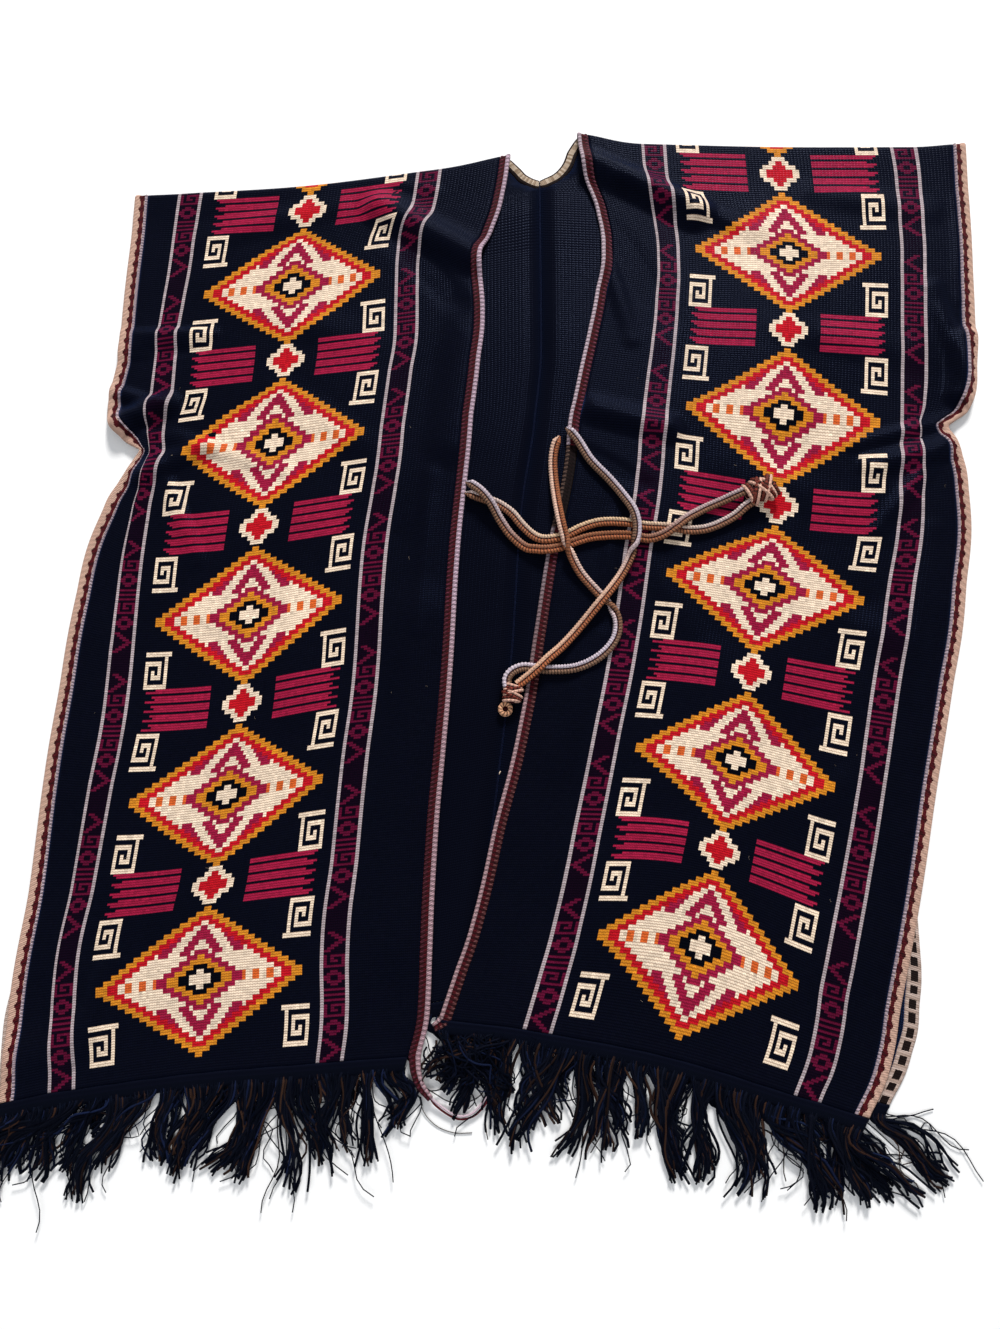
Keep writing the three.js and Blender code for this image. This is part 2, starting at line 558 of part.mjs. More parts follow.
// A header band along a hem, with its locks. hem gives the hem's place at a share across, above a place of the same
// column a little higher up the panel, and middle the height of the band's middle.
function fringe(spec, { hem, above, middle, from, to }) {
  const downwards = (across) => {
    const edge = hem(across);
    const inner = above(across);
    return new THREE.Vector3(edge[0] - inner[0], edge[1] - inner[1], 0).normalize();
  };
  const place = (across, below) => {
    const edge = hem(across);
    return new THREE.Vector3(edge[0], edge[1], middle(across)).addScaledVector(downwards(across), below);
  };
  const rows = [SEAM_GAP, HEADER].map((below) => {
    const row = [];
    for (let j = 0; j <= HEADER_COLUMNS; j += 1) {
      const across = THREE.MathUtils.lerp(from, to, j / HEADER_COLUMNS);
      row.push({ point: place(across, below), normal: new THREE.Vector3(0, 0, 1) });
    }
    return row;
  });
  let solid = toSolid(wall(rows, HEADER_THICK));

  const spots = spec.lean.map((value, i) => i / (spec.lean.length - 1));
  const leanAt = smoothCurve(spots, spec.lean);
  const lengthAt = smoothCurve(spots, spec.length);
  const hemLength = distance(hem(from), hem(to));
  const tufts = Math.round(hemLength / TUFT.pitch);
  for (let i = 0; i < spec.locks; i += 1) {
    const share = (i + 0.5) / spec.locks;
    const phase = 2 * Math.PI * tufts * share;
    const gathered = share + (TUFT.pull * Math.sin(phase)) / (2 * Math.PI * tufts);
    const lean = THREE.MathUtils.degToRad(leanAt(share));
    const uneven = UNEVEN.reduce((sum, wave) => sum + wave.share * Math.sin(wave.turn * i), 1);
    const length = lengthAt(share) * uneven;
    const root = place(THREE.MathUtils.lerp(from, to, share), HEADER - LOCK.rooted);
    const base = place(THREE.MathUtils.lerp(from, to, gathered), HEADER - LOCK.rooted);
    root.z = spec.height;
    const heading = new THREE.Vector3(Math.sin(lean), -Math.cos(lean), 0);
    const tip = base.clone().addScaledVector(heading, length).setZ(spec.end);
    const straight = root.clone().addScaledVector(heading, length * LOCK.bend);
    const bend = straight.lerp(root.clone().lerp(tip, LOCK.bend), 0.5).setZ((spec.height + spec.end) / 2);
    solid = solid.add(toSolid(lock([root, bend, tip])));
  }
  return fromSolid(solid);
}

function frontFringe(part, spec, to) {
  return fringe(spec, {
    hem: (across) => part.frontPlan(1, across),
    above: (across) => part.frontPlan(NEAR_HEM, across),
    middle: (across) => part.frontPoint(1, across).z - HEADER_SETTLE,
    from: 0,
    to,
  });
}

function backFringe(part, spec) {
  return fringe(spec, {
    hem: (across) => part.backPlan(1, across),
    above: (across) => part.backPlan(NEAR_HEM, across),
    middle: () => HEADER_THICK / 2,
    from: 0,
    to: 1,
  });
}

// A tie: a flat round-edged section drawn along its route.
function tie(points) {
  const route = new THREE.CatmullRomCurve3(points.map((point) => new THREE.Vector3(...point)), false, 'centripetal');
  const section = new THREE.Shape();
  for (let k = 0; k < TIE_SIDES; k += 1) {
    const turn = (2 * Math.PI * (k + 0.5)) / TIE_SIDES;
    const corner = [TIE_THICK / 2 * Math.cos(turn), TIE_WIDTH / 2 * Math.sin(turn)];
    if (k === 0) section.moveTo(...corner);
    else section.lineTo(...corner);
  }
  section.closePath();
  const steps = Math.round(route.getLength() / TIE_STEP);
  return new THREE.ExtrudeGeometry(section, { steps, bevelEnabled: false, extrudePath: route });
}

// A closed body from a library shape, whose seams are joined first.
function joined(geometry) {
  geometry.deleteAttribute('normal');
  geometry.deleteAttribute('uv');
  const whole = mergeVertices(geometry);
  return closedBody(Array.from(whole.getAttribute('position').array), Array.from(whole.getIndex().array));
}

// A ring of round wire about the Y axis.
function wireRing(radius, wire, sides) {
  const profile = [];
  for (let k = 0; k <= sides; k += 1) {
    const turn = (2 * Math.PI * (k % sides)) / sides;
    profile.push(new THREE.Vector2(radius + wire * Math.cos(turn), wire * Math.sin(turn)));
  }
  return new THREE.LatheGeometry(profile, 2 * sides);
}

function knot({ at, half, turn, eye }) {
  const [halfX, halfY, halfZ] = half;
  const body = new THREE.SphereGeometry(1, KNOT_FACETS.round, KNOT_FACETS.along).scale(halfX, halfY, halfZ);
  let solid = toSolid(joined(body));
  for (const share of KNOT_TURNS) {
    const reach = Math.sqrt(1 - share ** 2);
    const ring = wireRing(halfY * reach, KNOT_TURN_RADIUS, RING_SIDES).rotateZ(Math.PI / 2);
    ring.scale(1, 1, halfZ / halfY).rotateZ(THREE.MathUtils.degToRad(KNOT_TURN_LEAN * share));
    ring.translate(share * halfX, 0, 0);
    solid = solid.add(toSolid(joined(ring)));
  }
  const geometry = fromSolid(solid);
  geometry.rotateZ(THREE.MathUtils.degToRad(turn));
  geometry.translate(...at);
  if (!eye) return geometry;
  const loop = wireRing(EYE_RADIUS, EYE_WIRE, RING_SIDES).rotateX(Math.PI / 2);
  loop.translate(...eye);
  return fromSolid(toSolid(geometry).add(toSolid(joined(loop))));
}

const garment = new THREE.Group();
garment.position.set(-CENTRE.x, -CENTRE.y, 0);

function addPiece(name, geometry, color, roughness) {
  const material = new THREE.MeshStandardMaterial({ color, roughness, metalness: 0 });
  const mesh = new THREE.Mesh(geometry, material);
  mesh.name = name;
  garment.add(mesh);
}

const sides = {
  left: makeSide(1, LEFT_FRONT, LEFT_BACK, LEFT_NECK, LEFT_FOLDS),
  right: makeSide(-1, RIGHT_FRONT, RIGHT_BACK, RIGHT_NECK, RIGHT_FOLDS),
};
for (const [name, part] of Object.entries(sides)) {
  addPiece(`${name}_panel`, panel(part), COLOURS.cloth, 0.85);
  addPiece(`${name}_side_band`, sideBand(part), COLOURS.side, 0.85);
  addPiece(`${name}_front_braid`, frontBraid(part, name === 'left' ? BRAID_TAIL : []), COLOURS.front, 0.8);
}
const beforeBraid = braidStart - 2 * gapShare;
addPiece('front_left_fringe', frontFringe(sides.left, FRINGES.front_left_fringe, beforeBraid), COLOURS.fringe, 0.7);
addPiece('front_right_fringe', frontFringe(sides.right, FRINGES.front_right_fringe, 1), COLOURS.fringe, 0.7);
addPiece('back_left_fringe', backFringe(sides.left, FRINGES.back_left_fringe), COLOURS.fringe, 0.7);
addPiece('back_right_fringe', backFringe(sides.right, FRINGES.back_right_fringe), COLOURS.fringe, 0.7);
for (const [name, route] of Object.entries(TIES)) addPiece(name, tie(route), COLOURS.tie, 0.75);
for (const [name, spec] of Object.entries(KNOTS)) addPiece(name, knot(spec), COLOURS.tie, 0.75);

export default garment;
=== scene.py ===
# A knitted poncho cardigan with fringe and two doubled ties, laid flat with its fronts lying on its back.
# Lengths are in millimetres on the drawing plane of the part's source. Shape.build moves them to the frame.

import functools
import math

import bpy
import numpy as np
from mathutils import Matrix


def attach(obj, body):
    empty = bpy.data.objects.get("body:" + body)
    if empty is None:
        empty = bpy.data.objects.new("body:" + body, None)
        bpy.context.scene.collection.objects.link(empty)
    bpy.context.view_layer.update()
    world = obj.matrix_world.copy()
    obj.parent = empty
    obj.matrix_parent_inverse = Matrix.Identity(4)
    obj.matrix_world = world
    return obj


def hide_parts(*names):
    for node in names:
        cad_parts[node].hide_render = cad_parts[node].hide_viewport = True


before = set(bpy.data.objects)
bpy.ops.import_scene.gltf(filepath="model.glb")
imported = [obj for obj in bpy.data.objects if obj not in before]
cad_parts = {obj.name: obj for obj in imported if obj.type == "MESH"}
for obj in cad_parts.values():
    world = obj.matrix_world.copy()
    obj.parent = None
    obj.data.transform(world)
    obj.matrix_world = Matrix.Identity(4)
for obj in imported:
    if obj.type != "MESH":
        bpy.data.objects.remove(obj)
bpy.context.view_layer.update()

# Sizes of the cloth and its edges, as in the part's source.
CENTRE = np.array([-1.0, 38.0, 0.0])
CLOTH = 2.4
BRAID = 2.8
HEADER_THICK = 3.0
SIDE_BAND = 12.0
FRONT_BRAID = 10.0
HEADER = 12.0
SEAM_GAP = 0.3
PANEL_LENGTH = 820.0
PANEL_WIDTH = 350.0
BACK_LENGTH = 780.0
FRONT_LAYER = 4.9
FOLD_RADIUS = 2.6
SHOULDER_SETTLE = 30.0
OUTER_STRIPE = 0.148
INNER_STRIPE = 0.787
BAND_END = SIDE_BAND / PANEL_WIDTH
BRAID_START = 1 - FRONT_BRAID / PANEL_WIDTH
GAP_SHARE = SEAM_GAP / PANEL_WIDTH

# Rows of each front from shoulder to hem: down, outer edge, outer stripes, inner stripes, front edge.
LEFT_FRONT = [
    (0, (-341, 446), (-290, 449), (-67, 473), (10, 490)),
    (0.05, (-342, 407), (-294, 409), (-73, 433), (4, 448)),
    (0.1, (-344, 365), (-297, 369), (-85, 396), (-7, 409)),
    (0.14, (-345, 332), (-301, 336), (-86, 364), (-17, 377)),
    (0.2, (-346, 283), (-305, 289), (-86, 316), (-14, 329)),
    (0.26, (-352, 234), (-306, 242), (-91, 268), (-18, 280)),
    (0.295, (-338, 205), (-311, 214), (-94, 240), (-21, 251)),
    (0.318, (-325, 195.8), (-310.3, 196.5), (-96.3, 221.6), (-23.3, 232.6)),
    (0.325, (-321, 193), (-310, 191), (-97, 216), (-24, 227)),
    (0.332, (-324.2, 187.2), (-311.2, 185.2), (-97.4, 210.4), (-24.4, 221.4)),
    (0.36, (-337, 164), (-316, 162), (-99, 188), (-26, 199)),
    (0.4, (-349, 139), (-320, 131), (-103, 157), (-29, 167)),
    (0.5, (-367, 59), (-324, 52), (-112, 77), (-36, 86)),
    (0.6, (-375, -23), (-326, -28), (-115, -3), (-40, 5)),
    (0.7, (-382, -105), (-335, -107), (-123, -83), (-46, -76)),
    (0.8, (-386, -188), (-344, -187), (-129, -163), (-52, -157)),
    (0.9, (-394, -270), (-353, -266), (-135, -243), (-55, -239)),
    (0.95, (-395, -312), (-350.5, -305.5), (-133.5, -283), (-56, -278.5)),
    (1, (-396, -354), (-348, -345), (-136, -323), (-63, -318)),
]
RIGHT_FRONT = [
    (0, (440, 502), (381, 498), (145, 501), (73, 513)),
    (0.05, (439, 457), (384, 455), (147, 460), (78, 470)),
    (0.1, (438, 412), (384, 411), (153, 420), (90, 431)),
    (0.15, (436, 366), (382, 368), (155, 380), (94, 390)),
    (0.2, (434, 321), (379, 325), (153, 340), (88, 349)),
    (0.25, (431, 276), (376, 282), (149, 300), (80, 308)),
    (0.295, (422, 235), (373, 242), (144, 263), (72, 272)),
    (0.318, (405.9, 219.7), (371.5, 223.6), (141.7, 245.4), (68.2, 253.6)),
    (0.325, (401, 215), (371, 218), (141, 240), (67, 248)),
    (0.333, (403.3, 209.3), (370.3, 211.1), (140.1, 233.4), (65.6, 241.4)),
    (0.36, (411, 190), (368, 188), (137, 211), (61, 219)),
    (0.4, (414, 156), (365, 153), (134, 179), (58, 187)),
    (0.5, (404, 66), (349, 69), (121, 100), (42, 106)),
    (0.6, (385, -22), (329, -15), (108, 20), (29, 25)),
    (0.7, (364, -110), (311, -100), (91, -59), (15, -57)),
    (0.8, (344, -198), (291, -184), (74, -138), (-5, -137)),
    (0.9, (321, -285), (270, -267), (56, -217), (-24, -217)),
    (0.95, (311, -325), (261, -309), (44, -258.5), (-36.5, -253.5)),
    (1, (291, -365), (244, -351), (31, -300), (-49, -290)),
]
# Rows of the seam: y, x. Rows of each back: down, outer edge, height where the row meets the seam.
SEAM = [(455, 37.2), (322, 37.5), (224, 31), (140, 19), (10, 10), (-91, -1), (-272, -22)]
LEFT_BACK = [
    (0.075, (-342, 386), 446), (0.15, (-343, 326), 387), (0.26, (-342, 238), 302),
    (0.325, (-322, 192), 251), (0.4, (-343, 138), 194), (0.5, (-361, 58), 116), (0.6, (-370, -23), 38),
    (0.7, (-377, -104), -39), (0.8, (-383, -186), -117), (0.9, (-395, -266), -195),
    (0.95, (-399, -306), -233), (1, (-398.5, -346), -272),
]
RIGHT_BACK = [
    (0.075, (436, 434), 446), (0.15, (431, 366), 387), (0.26, (423, 266), 302), (0.325, (402, 214), 251),
    (0.4, (409, 156), 194), (0.5, (399, 66), 116), (0.6, (380, -22), 38), (0.7, (360, -110), -39),
    (0.8, (342, -190), -117), (0.85, (342, -236), -156), (0.9, (338, -282), -195),
    (0.95, (329, -318), -233), (1, (309, -356), -272),
]
# Points of each neck edge, from the shoulder to the seam. The back's first rows end along it.
LEFT_NECK = [(10, 490), (20, 476), (27.5, 468.5), (37.2, 464)]
RIGHT_NECK = [(73, 513), (64, 495), (56, 477), (37.2, 464)]
NECK_SHARES = (1 / 3, 2 / 3)
NECK_DOWN = 0.075
JOINED_AT = NECK_DOWN / 3

# Ridges of the part's source: from, to, half width, height.
LEFT_FOLDS = [
    ((-112, 434), (-18, 379), 24, 9), ((-24, 340), (-45, 200), 30, 3), ((-338, 218), (-300, 236), 17, 10),
    ((-318, 170), (-262, 196), 15, 5), ((-342, 290), (-275, 300), 15, 4),
    ((-250, 120), (-290, -250), 70, 3), ((-72, 40), (-80, -230), 42, 3.5),
    ((-382, -320), (-330, -300), 26, 4),
]
RIGHT_FOLDS = [
    ((84, 482), (180, 428), 24, 9), ((86, 232), (150, 214), 19, 7), ((424, 300), (412, 246), 17, 7),
    ((396, 196), (330, 178), 16, 5), ((250, 400), (240, 240), 60, 3), ((180, -20), (110, -230), 60, 3),
    ((330, 20), (275, -240), 42, 3.5),
]

# Softer ridges and troughs of the cloth alone, which fade out at both ends. Troughs are negative.
LEFT_CREASES = [
    ((-96, 402), (-22, 318), 20, -1.4), ((-352, 304), (-262, 306), 9, 2.4),
    ((-352, 290), (-270, 290), 9, -1.2), ((-316, 205), (-262, 90), 13, 2.2),
    ((-312, 213), (-190, 172), 12, 2.0), ((-356, 252), (-308, 236), 10, 3.0),
    ((-340, 222), (-300, 212), 8, -1.2), ((-272, -330), (-262, -200), 16, 1.3),
    ((-192, -320), (-184, -180), 18, 1.2), ((-88, 110), (-105, -190), 22, -1.0),
    ((-171, -40), (-186, 110), 30, 1.0), ((-338, -318), (-306, -215), 14, 1.8),
    ((-60, 170), (-70, 30), 14, 1.6), ((-285, 398), (-150, 436), 20, 1.6),
    ((-230, 330), (-120, 300), 26, 1.2), ((-300, 60), (-200, 20), 22, 0.9),
    ((-130, -60), (-240, -110), 24, 0.9), ((-200, 250), (-110, 190), 22, 1.1),
    ((-120, -322), (-112, -200), 14, 1.2), ((-330, 10), (-300, -120), 16, 1.0),
    ((-150, 470), (-60, 452), 10, 1.2),
]
RIGHT_CREASES = [
    ((92, 430), (150, 320), 24, -1.4), ((120, 462), (238, 408), 16, 2.6), ((95, 398), (120, 300), 12, 1.6),
    ((404, 222), (312, 198), 10, 2.0), ((402, 206), (330, 118), 12, 2.0), ((398, 352), (424, 238), 14, 2.4),
    ((84, 24), (50, -90), 16, 1.2), ((36, -280), (60, -176), 12, 1.4), ((160, -320), (188, -190), 18, 1.4),
    ((256, -330), (288, -190), 14, 1.6), ((256, 314), (372, 286), 24, 1.4), ((128, 95), (176, 10), 22, 1.0),
    ((60, 200), (128, 160), 13, -1.2), ((290, 450), (400, 430), 20, 1.4), ((200, 180), (300, 140), 28, 1.0),
    ((250, 60), (330, 20), 22, 1.0), ((90, -130), (190, -160), 20, 0.9), ((380, 120), (350, -30), 14, 1.2),
    ((300, -90), (250, -130), 18, 0.9), ((430, 440), (424, 340), 12, 1.2), ((100, 150), (92, 60), 12, 1.2),
]
BACK_CREASES = [
    ((-20, 250), (30, 120), 16, 0.7), ((-10, 60), (14, -60), 12, 0.6), ((-200, 300), (-120, 150), 20, 0.9),
    ((-280, 60), (-240, -140), 22, 0.8), ((-120, -60), (-160, -240), 18, 0.9),
    ((120, 340), (200, 200), 22, 0.9), ((280, 120), (230, -60), 20, 0.8), ((330, 330), (250, 260), 16, 0.7),
    ((150, -80), (120, -260), 20, 0.9), ((60, 40), (120, -40), 14, 0.7),
    ((-330, 200), (-240, 170), 12, 0.9), ((390, 205), (300, 170), 12, 0.9),
]
LOWEST_TROUGH = -1.1
CREASE_SCALE = 1.6
CREASE_ENDS = (0.12, 0.88)

# Stitches. The columns run across a panel from its side band, and the rows up the front and down the back.
COLUMNS = 113
FRONT_ROWS = 396
BACK_ROWS = 372
FOLD_STEPS = 8
INNER_STEP = 6
DENSE = 40
STITCH_SPREAD = 0.045
NORMAL_STEP = 0.004
BAND_STEP = 1.4
BRAID_STEP = 1.3
NECK_ROWS = 30
SPLINE_STEPS = 24
FULL_TURN = 2 * math.pi

# The yarns, as sRGB values out of 255.
NAVY = (9, 10, 19)
CREAM = (232, 212, 188)
CRIMSON = (150, 28, 60)
RED = (186, 24, 34)
OCHRE = (204, 130, 36)
ORANGE = (212, 98, 44)
PLUM = (88, 16, 44)
DARK_PLUM = (17, 6, 17)
BLACK = (7, 7, 11)
PEACH = (202, 166, 148)
LILAC = (204, 184, 196)
GREY = (168, 156, 160)
DARK_RED = (84, 14, 26)
INK = (20, 9, 9)
YARNS = [NAVY, CREAM, CRIMSON, RED, OCHRE, ORANGE, PLUM, DARK_PLUM, BLACK, GREY]
(NAVY_YARN, CREAM_YARN, CRIMSON_YARN, RED_YARN, OCHRE_YARN,
 ORANGE_YARN, PLUM_YARN, DARK_PLUM_YARN, BLACK_YARN, STRIPE_YARN) = range(len(YARNS))

# The ties' routes, as in the part's source, and the braid that they are made of.
TIES = {
    "left_tie_a": [
        (-30, 163, 9.1), (-24, 159, 10.6), (-16, 152, 12.4), (-8, 142, 11.4), (0, 128, 7.4), (10, 114, 5.4),
        (23, 103, 5.3), (31, 101, 7.8), (39, 100, 9.7), (51, 102, 9.1), (62, 106, 9.1), (77, 111, 9.1),
        (93, 113, 9.1), (114, 113, 9.1), (130, 110, 9.6), (142, 113, 12.6), (153, 120, 14.6),
        (163, 128, 12.4), (180, 138, 9.2), (196, 145, 9.6), (206, 149, 12.4), (214.7, 152.2, 15.0),
    ],
    "left_tie_b": [
        (-31, 153, 9.1), (-24, 150.5, 8.6), (-14, 147.5, 6.4), (-3, 144, 5.2), (10, 135, 5.2),
        (19, 124, 5.2), (28, 115, 5.6), (35, 110.5, 7.8), (42, 109.5, 9.3), (57, 113, 9.1), (71, 120, 9.1),
        (87, 125, 9.1), (110, 125, 9.1), (126, 122, 9.1), (142, 121, 9.1), (153, 120, 9.1), (163, 118, 9.1),
        (179, 119, 9.1), (195, 125, 9.2), (207, 132, 10.4), (214, 138, 12.6), (221.0, 142.7, 14.6),
    ],
    "right_tie_a": [
        (59, 214, 9.1), (68, 203, 9.1), (80, 183, 9.1), (96, 165, 9.4), (108, 149, 11.0), (116, 135, 14.2),
        (119, 122, 14.9), (118, 109, 14.4), (112, 91, 10.6), (104, 76, 11.2), (94, 62, 14.9),
        (85, 51, 14.9), (75, 39, 11.2), (64, 26, 9.6), (52, 13, 11.4), (41, 3, 14.2), (33, -5, 14.6),
        (26, -11, 12.8), (19, -16.5, 11.2), (14.6, -19.7, 10.6),
    ],
    "right_tie_b": [
        (53, 206, 9.1), (49, 197, 7.4), (47, 184, 5.4), (47.5, 168, 5.4), (49, 152, 8.0), (51, 136, 12.4),
        (53, 124, 14.6), (56, 111, 14.7), (60, 98, 13.6), (69, 80, 10.0), (83, 63, 9.1), (96, 49, 9.1),
        (101, 36, 9.1), (99, 22, 9.1), (87, 7, 9.1), (66, -4, 9.1), (43, -6, 9.1), (31, -5, 9.1),
        (19, -4, 9.1), (10, -8, 9.4), (6, -14, 10.0), (6.4, -21.6, 10.4),
    ],
}
TIE_STEP = 0.7
TIE_PLY = 2.6
TIE_SWELL = 1.12

VIEW_TILT = math.radians(11)
VIEW_DISTANCE = 0.894
VIEW_AIM = (0.001, -0.038)
LENS_MM = 28.17
SENSOR_MM = 36


def placed(name, data):
    made = bpy.data.objects.new(name, data)
    bpy.context.scene.collection.objects.link(made)
    return made


def camera():
    """The photograph's view: 11 degrees off straight down, from the hem side."""
    data = bpy.data.cameras.new("camera")
    data.lens = LENS_MM
    data.sensor_width = SENSOR_MM
    data.clip_end = 50
    made = placed("camera", data)
    back = VIEW_DISTANCE * math.sin(VIEW_TILT)
    made.location = (VIEW_AIM[0], VIEW_AIM[1] - back, VIEW_DISTANCE * math.cos(VIEW_TILT))
    made.rotation_euler = (VIEW_TILT, 0, 0)
    bpy.context.scene.camera = made


# Curves.
def smooth(places, values, wanted):
    """Curves without overshoot at wanted places (rows, count). values is (rows, knots, size)."""
    places = np.asarray(places, float)
    steps = np.diff(places)
    slopes = np.diff(values, axis=1) / steps[:, None]
    before, after = slopes[:, :-1], slopes[:, 1:]
    alike = before * after > 0
    middle = np.where(alike, 2 * before * after / np.where(alike, before + after, 1), 0)
    tangents = np.concatenate([slopes[:, :1], middle, slopes[:, -1:]], axis=1)
    i = np.clip(np.searchsorted(places, wanted) - 1, 0, len(places) - 2)
    rows = np.arange(len(values))[:, None]
    span = steps[i][..., None]
    t = ((wanted - places[i]) / steps[i])[..., None]
    start = values[rows, i] + tangents[rows, i] * span * t
    end = values[rows, i + 1] - tangents[rows, i + 1] * span * (1 - t)
    return start + (end - start) * ease(t)


def smooth_line(places, values, wanted):
    values = np.asarray(values, float).reshape(1, len(places), -1)
    return smooth(places, values, np.asarray(wanted, float)[None])[0]


def moved(start, towards, distance):
    run = towards - start
    length = np.linalg.norm(run, axis=-1, keepdims=True)
    return start + run * distance / length


def unit(vectors):
    return vectors / np.maximum(np.linalg.norm(vectors, axis=-1, keepdims=True), 1e-9)


def ease(share):
    return share * share * (3 - 2 * share)


def run_along(points):
    """Distance along points from the first."""
    steps = np.linalg.norm(np.diff(points, axis=-2), axis=-1)
    return np.concatenate([np.zeros((*steps.shape[:-1], 1)), np.cumsum(steps, axis=-1)], axis=-1)


def hump(places, start, end):
    """A rounded ridge from start to end."""
    return np.sin(math.pi * np.clip((places - start) / (end - start), 0, 1)) ** 0.6


def mix(first, second, share):
    share = np.asarray(share, float)[..., None]
    return np.array(first, float) * (1 - share) + np.array(second, float) * share


def spline(points, step):
    """A centripetal curve through points, cut into even steps."""
    points = np.array(points, float)
    points = np.concatenate([[2 * points[0] - points[1]], points, [2 * points[-1] - points[-2]]])
    dense = []
    for i in range(1, len(points) - 2):
        a, b, c, d = points[i - 1:i + 3]
        gaps = [max(math.sqrt(np.linalg.norm(q - p)), 1e-4) for p, q in ((a, b), (b, c), (c, d))]
        out = ((b - a) / gaps[0] - (c - a) / (gaps[0] + gaps[1]) + (c - b) / gaps[1]) * gaps[1]
        into = ((c - b) / gaps[1] - (d - b) / (gaps[1] + gaps[2]) + (d - c) / gaps[2]) * gaps[1]
        t = np.linspace(0, 1, SPLINE_STEPS, endpoint=False)[:, None]
        dense.append((2 * t**3 - 3 * t**2 + 1) * b + (t**3 - 2 * t**2 + t) * out
                     + (3 * t**2 - 2 * t**3) * c + (t**3 - t**2) * into)
    dense = np.concatenate([*dense, points[-2:-1]])
    along = run_along(dense)
    wanted = np.linspace(0, along[-1], max(2, round(along[-1] / step)))
    return np.stack([np.interp(wanted, along, dense[:, k]) for k in range(3)], axis=1), wanted


# Meshes.
class Shape:
    """Points and faces of one piece, gathered group by group."""

    def __init__(self):
        self.points = []
        self.groups = []
        self.count = 0

    def add_points(self, points):
        first = self.count
        self.points.append(points.reshape(-1, 3))
        self.count += len(self.points[-1])
        return first

    def add_faces(self, faces, colours, uvs):
        """faces is (n, corners), colours (n, 3) or one colour, uvs (n, corners, 2)."""
        colours = np.broadcast_to(np.asarray(colours, float), (len(faces), 3))
        self.groups.append((faces, colours, uvs))

    def volume(self, points):
        total = 0
        for faces, _, _ in self.groups:
            first = points[faces[:, 0]]
            for k in range(1, faces.shape[1] - 1):
                second, third = points[faces[:, k]], points[faces[:, k + 1]]
                total += np.einsum("ij,ij->", first, np.cross(second, third))
        return total

    def build(self, name, material, nodes=()):
        points = (np.concatenate(self.points) - CENTRE) / 1000
        sizes = np.concatenate([np.full(len(faces), faces.shape[1]) for faces, _, _ in self.groups])
        corners = np.concatenate([faces.ravel() for faces, _, _ in self.groups])
        colours = np.concatenate([np.repeat(c, f.shape[1], axis=0) for f, c, _ in self.groups])
        uvs = np.concatenate([uv.reshape(-1, 2) for _, _, uv in self.groups])
        mesh = bpy.data.meshes.new(name)
        mesh.vertices.add(len(points))
        mesh.vertices.foreach_set("co", points.astype(np.float32).ravel())
        mesh.loops.add(len(corners))
        mesh.loops.foreach_set("vertex_index", corners.astype(np.int32))
        mesh.polygons.add(len(sizes))
        mesh.polygons.foreach_set("loop_start", np.concatenate([[0], np.cumsum(sizes)[:-1]]).astype(np.int32))
        mesh.polygons.foreach_set("use_smooth", np.ones(len(sizes), bool))
        layer = mesh.uv_layers.new(name="stitches")
        layer.data.foreach_set("uv", uvs.astype(np.float32).ravel())
        yarn = mesh.color_attributes.new("yarn", "BYTE_COLOR", "CORNER")
        opaque = np.concatenate([np.clip(colours / 255, 0, 1), np.ones((len(colours), 1))], axis=1)
        yarn.data.foreach_set("color_srgb", opaque.astype(np.float32).ravel())
        mesh.update(calc_edges=True)
        if self.volume(points) < 0:
            mesh.flip_normals()
        mesh.materials.append(material)
        made = placed(name, mesh)
        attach(made, "root")
        if nodes:
            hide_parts(*nodes)
        return made


def corner_uvs(u, v, u_next, v_next):
    """The corners of each quad on the stitch map, as one quad a row."""
    corners = ((u, v), (u_next, v), (u_next, v_next), (u, v_next))
    pairs = [np.stack(np.broadcast_arrays(*pair), axis=-1) for pair in corners]
    return np.stack(pairs, axis=-2).reshape(-1, 4, 2).astype(float)


def loft(shape, rings, colours, around):
    """Closed tubes through rings (n, rows, sides, 3). colours is (n, rows - 1, sides, 3)."""
    count, rows, sides, _ = rings.shape
    first = shape.add_points(rings)
    index = first + np.arange(count * rows * sides).reshape(count, rows, sides)
    after = np.roll(index, -1, axis=2)
    quads = np.stack([index[:, :-1], after[:, :-1], after[:, 1:], index[:, 1:]], axis=-1)
    along = run_along(rings.mean(axis=2))[..., None]
    uvs = corner_uvs(around[:-1], along[:, :-1], around[1:], along[:, 1:])
    colours = np.broadcast_to(colours, (count, rows - 1, sides, 3))
    shape.add_faces(quads.reshape(-1, 4), colours.reshape(-1, 3), uvs)
    for row, cap in ((0, index[:, 0, ::-1]), (rows - 2, index[:, -1])):
        shape.add_faces(cap, colours[:, row, 0], np.zeros((count, sides, 2)))


def line_frames(lines):
    """Unit vectors across and above lines (n, points, 3) that mostly run flat."""
    tangents = unit(np.gradient(lines, axis=1))
    flat = np.cross(np.array([0.0, 0.0, 1.0]), tangents)
    across = unit(flat + np.array([1e-5, 0.0, 0.0]))
    return across, np.cross(tangents, across)


def tubes(shape, lines, radii, sides, colours):
    """Round threads along lines (n, points, 3)."""
    across, above = line_frames(lines)
    turn = FULL_TURN * np.arange(sides)[:, None] / sides
    radii = np.broadcast_to(radii, lines.shape[:2])[..., None, None]
    rings = lines[:, :, None] + radii * (across[:, :, None] * np.cos(turn) + above[:, :, None] * np.sin(turn))
    colours = np.broadcast_to(np.asarray(colours, float), (len(lines), 3))[:, None, None]
    around = np.arange(sides + 1) * FULL_TURN / sides * float(np.mean(radii))
    loft(shape, rings, colours, around)


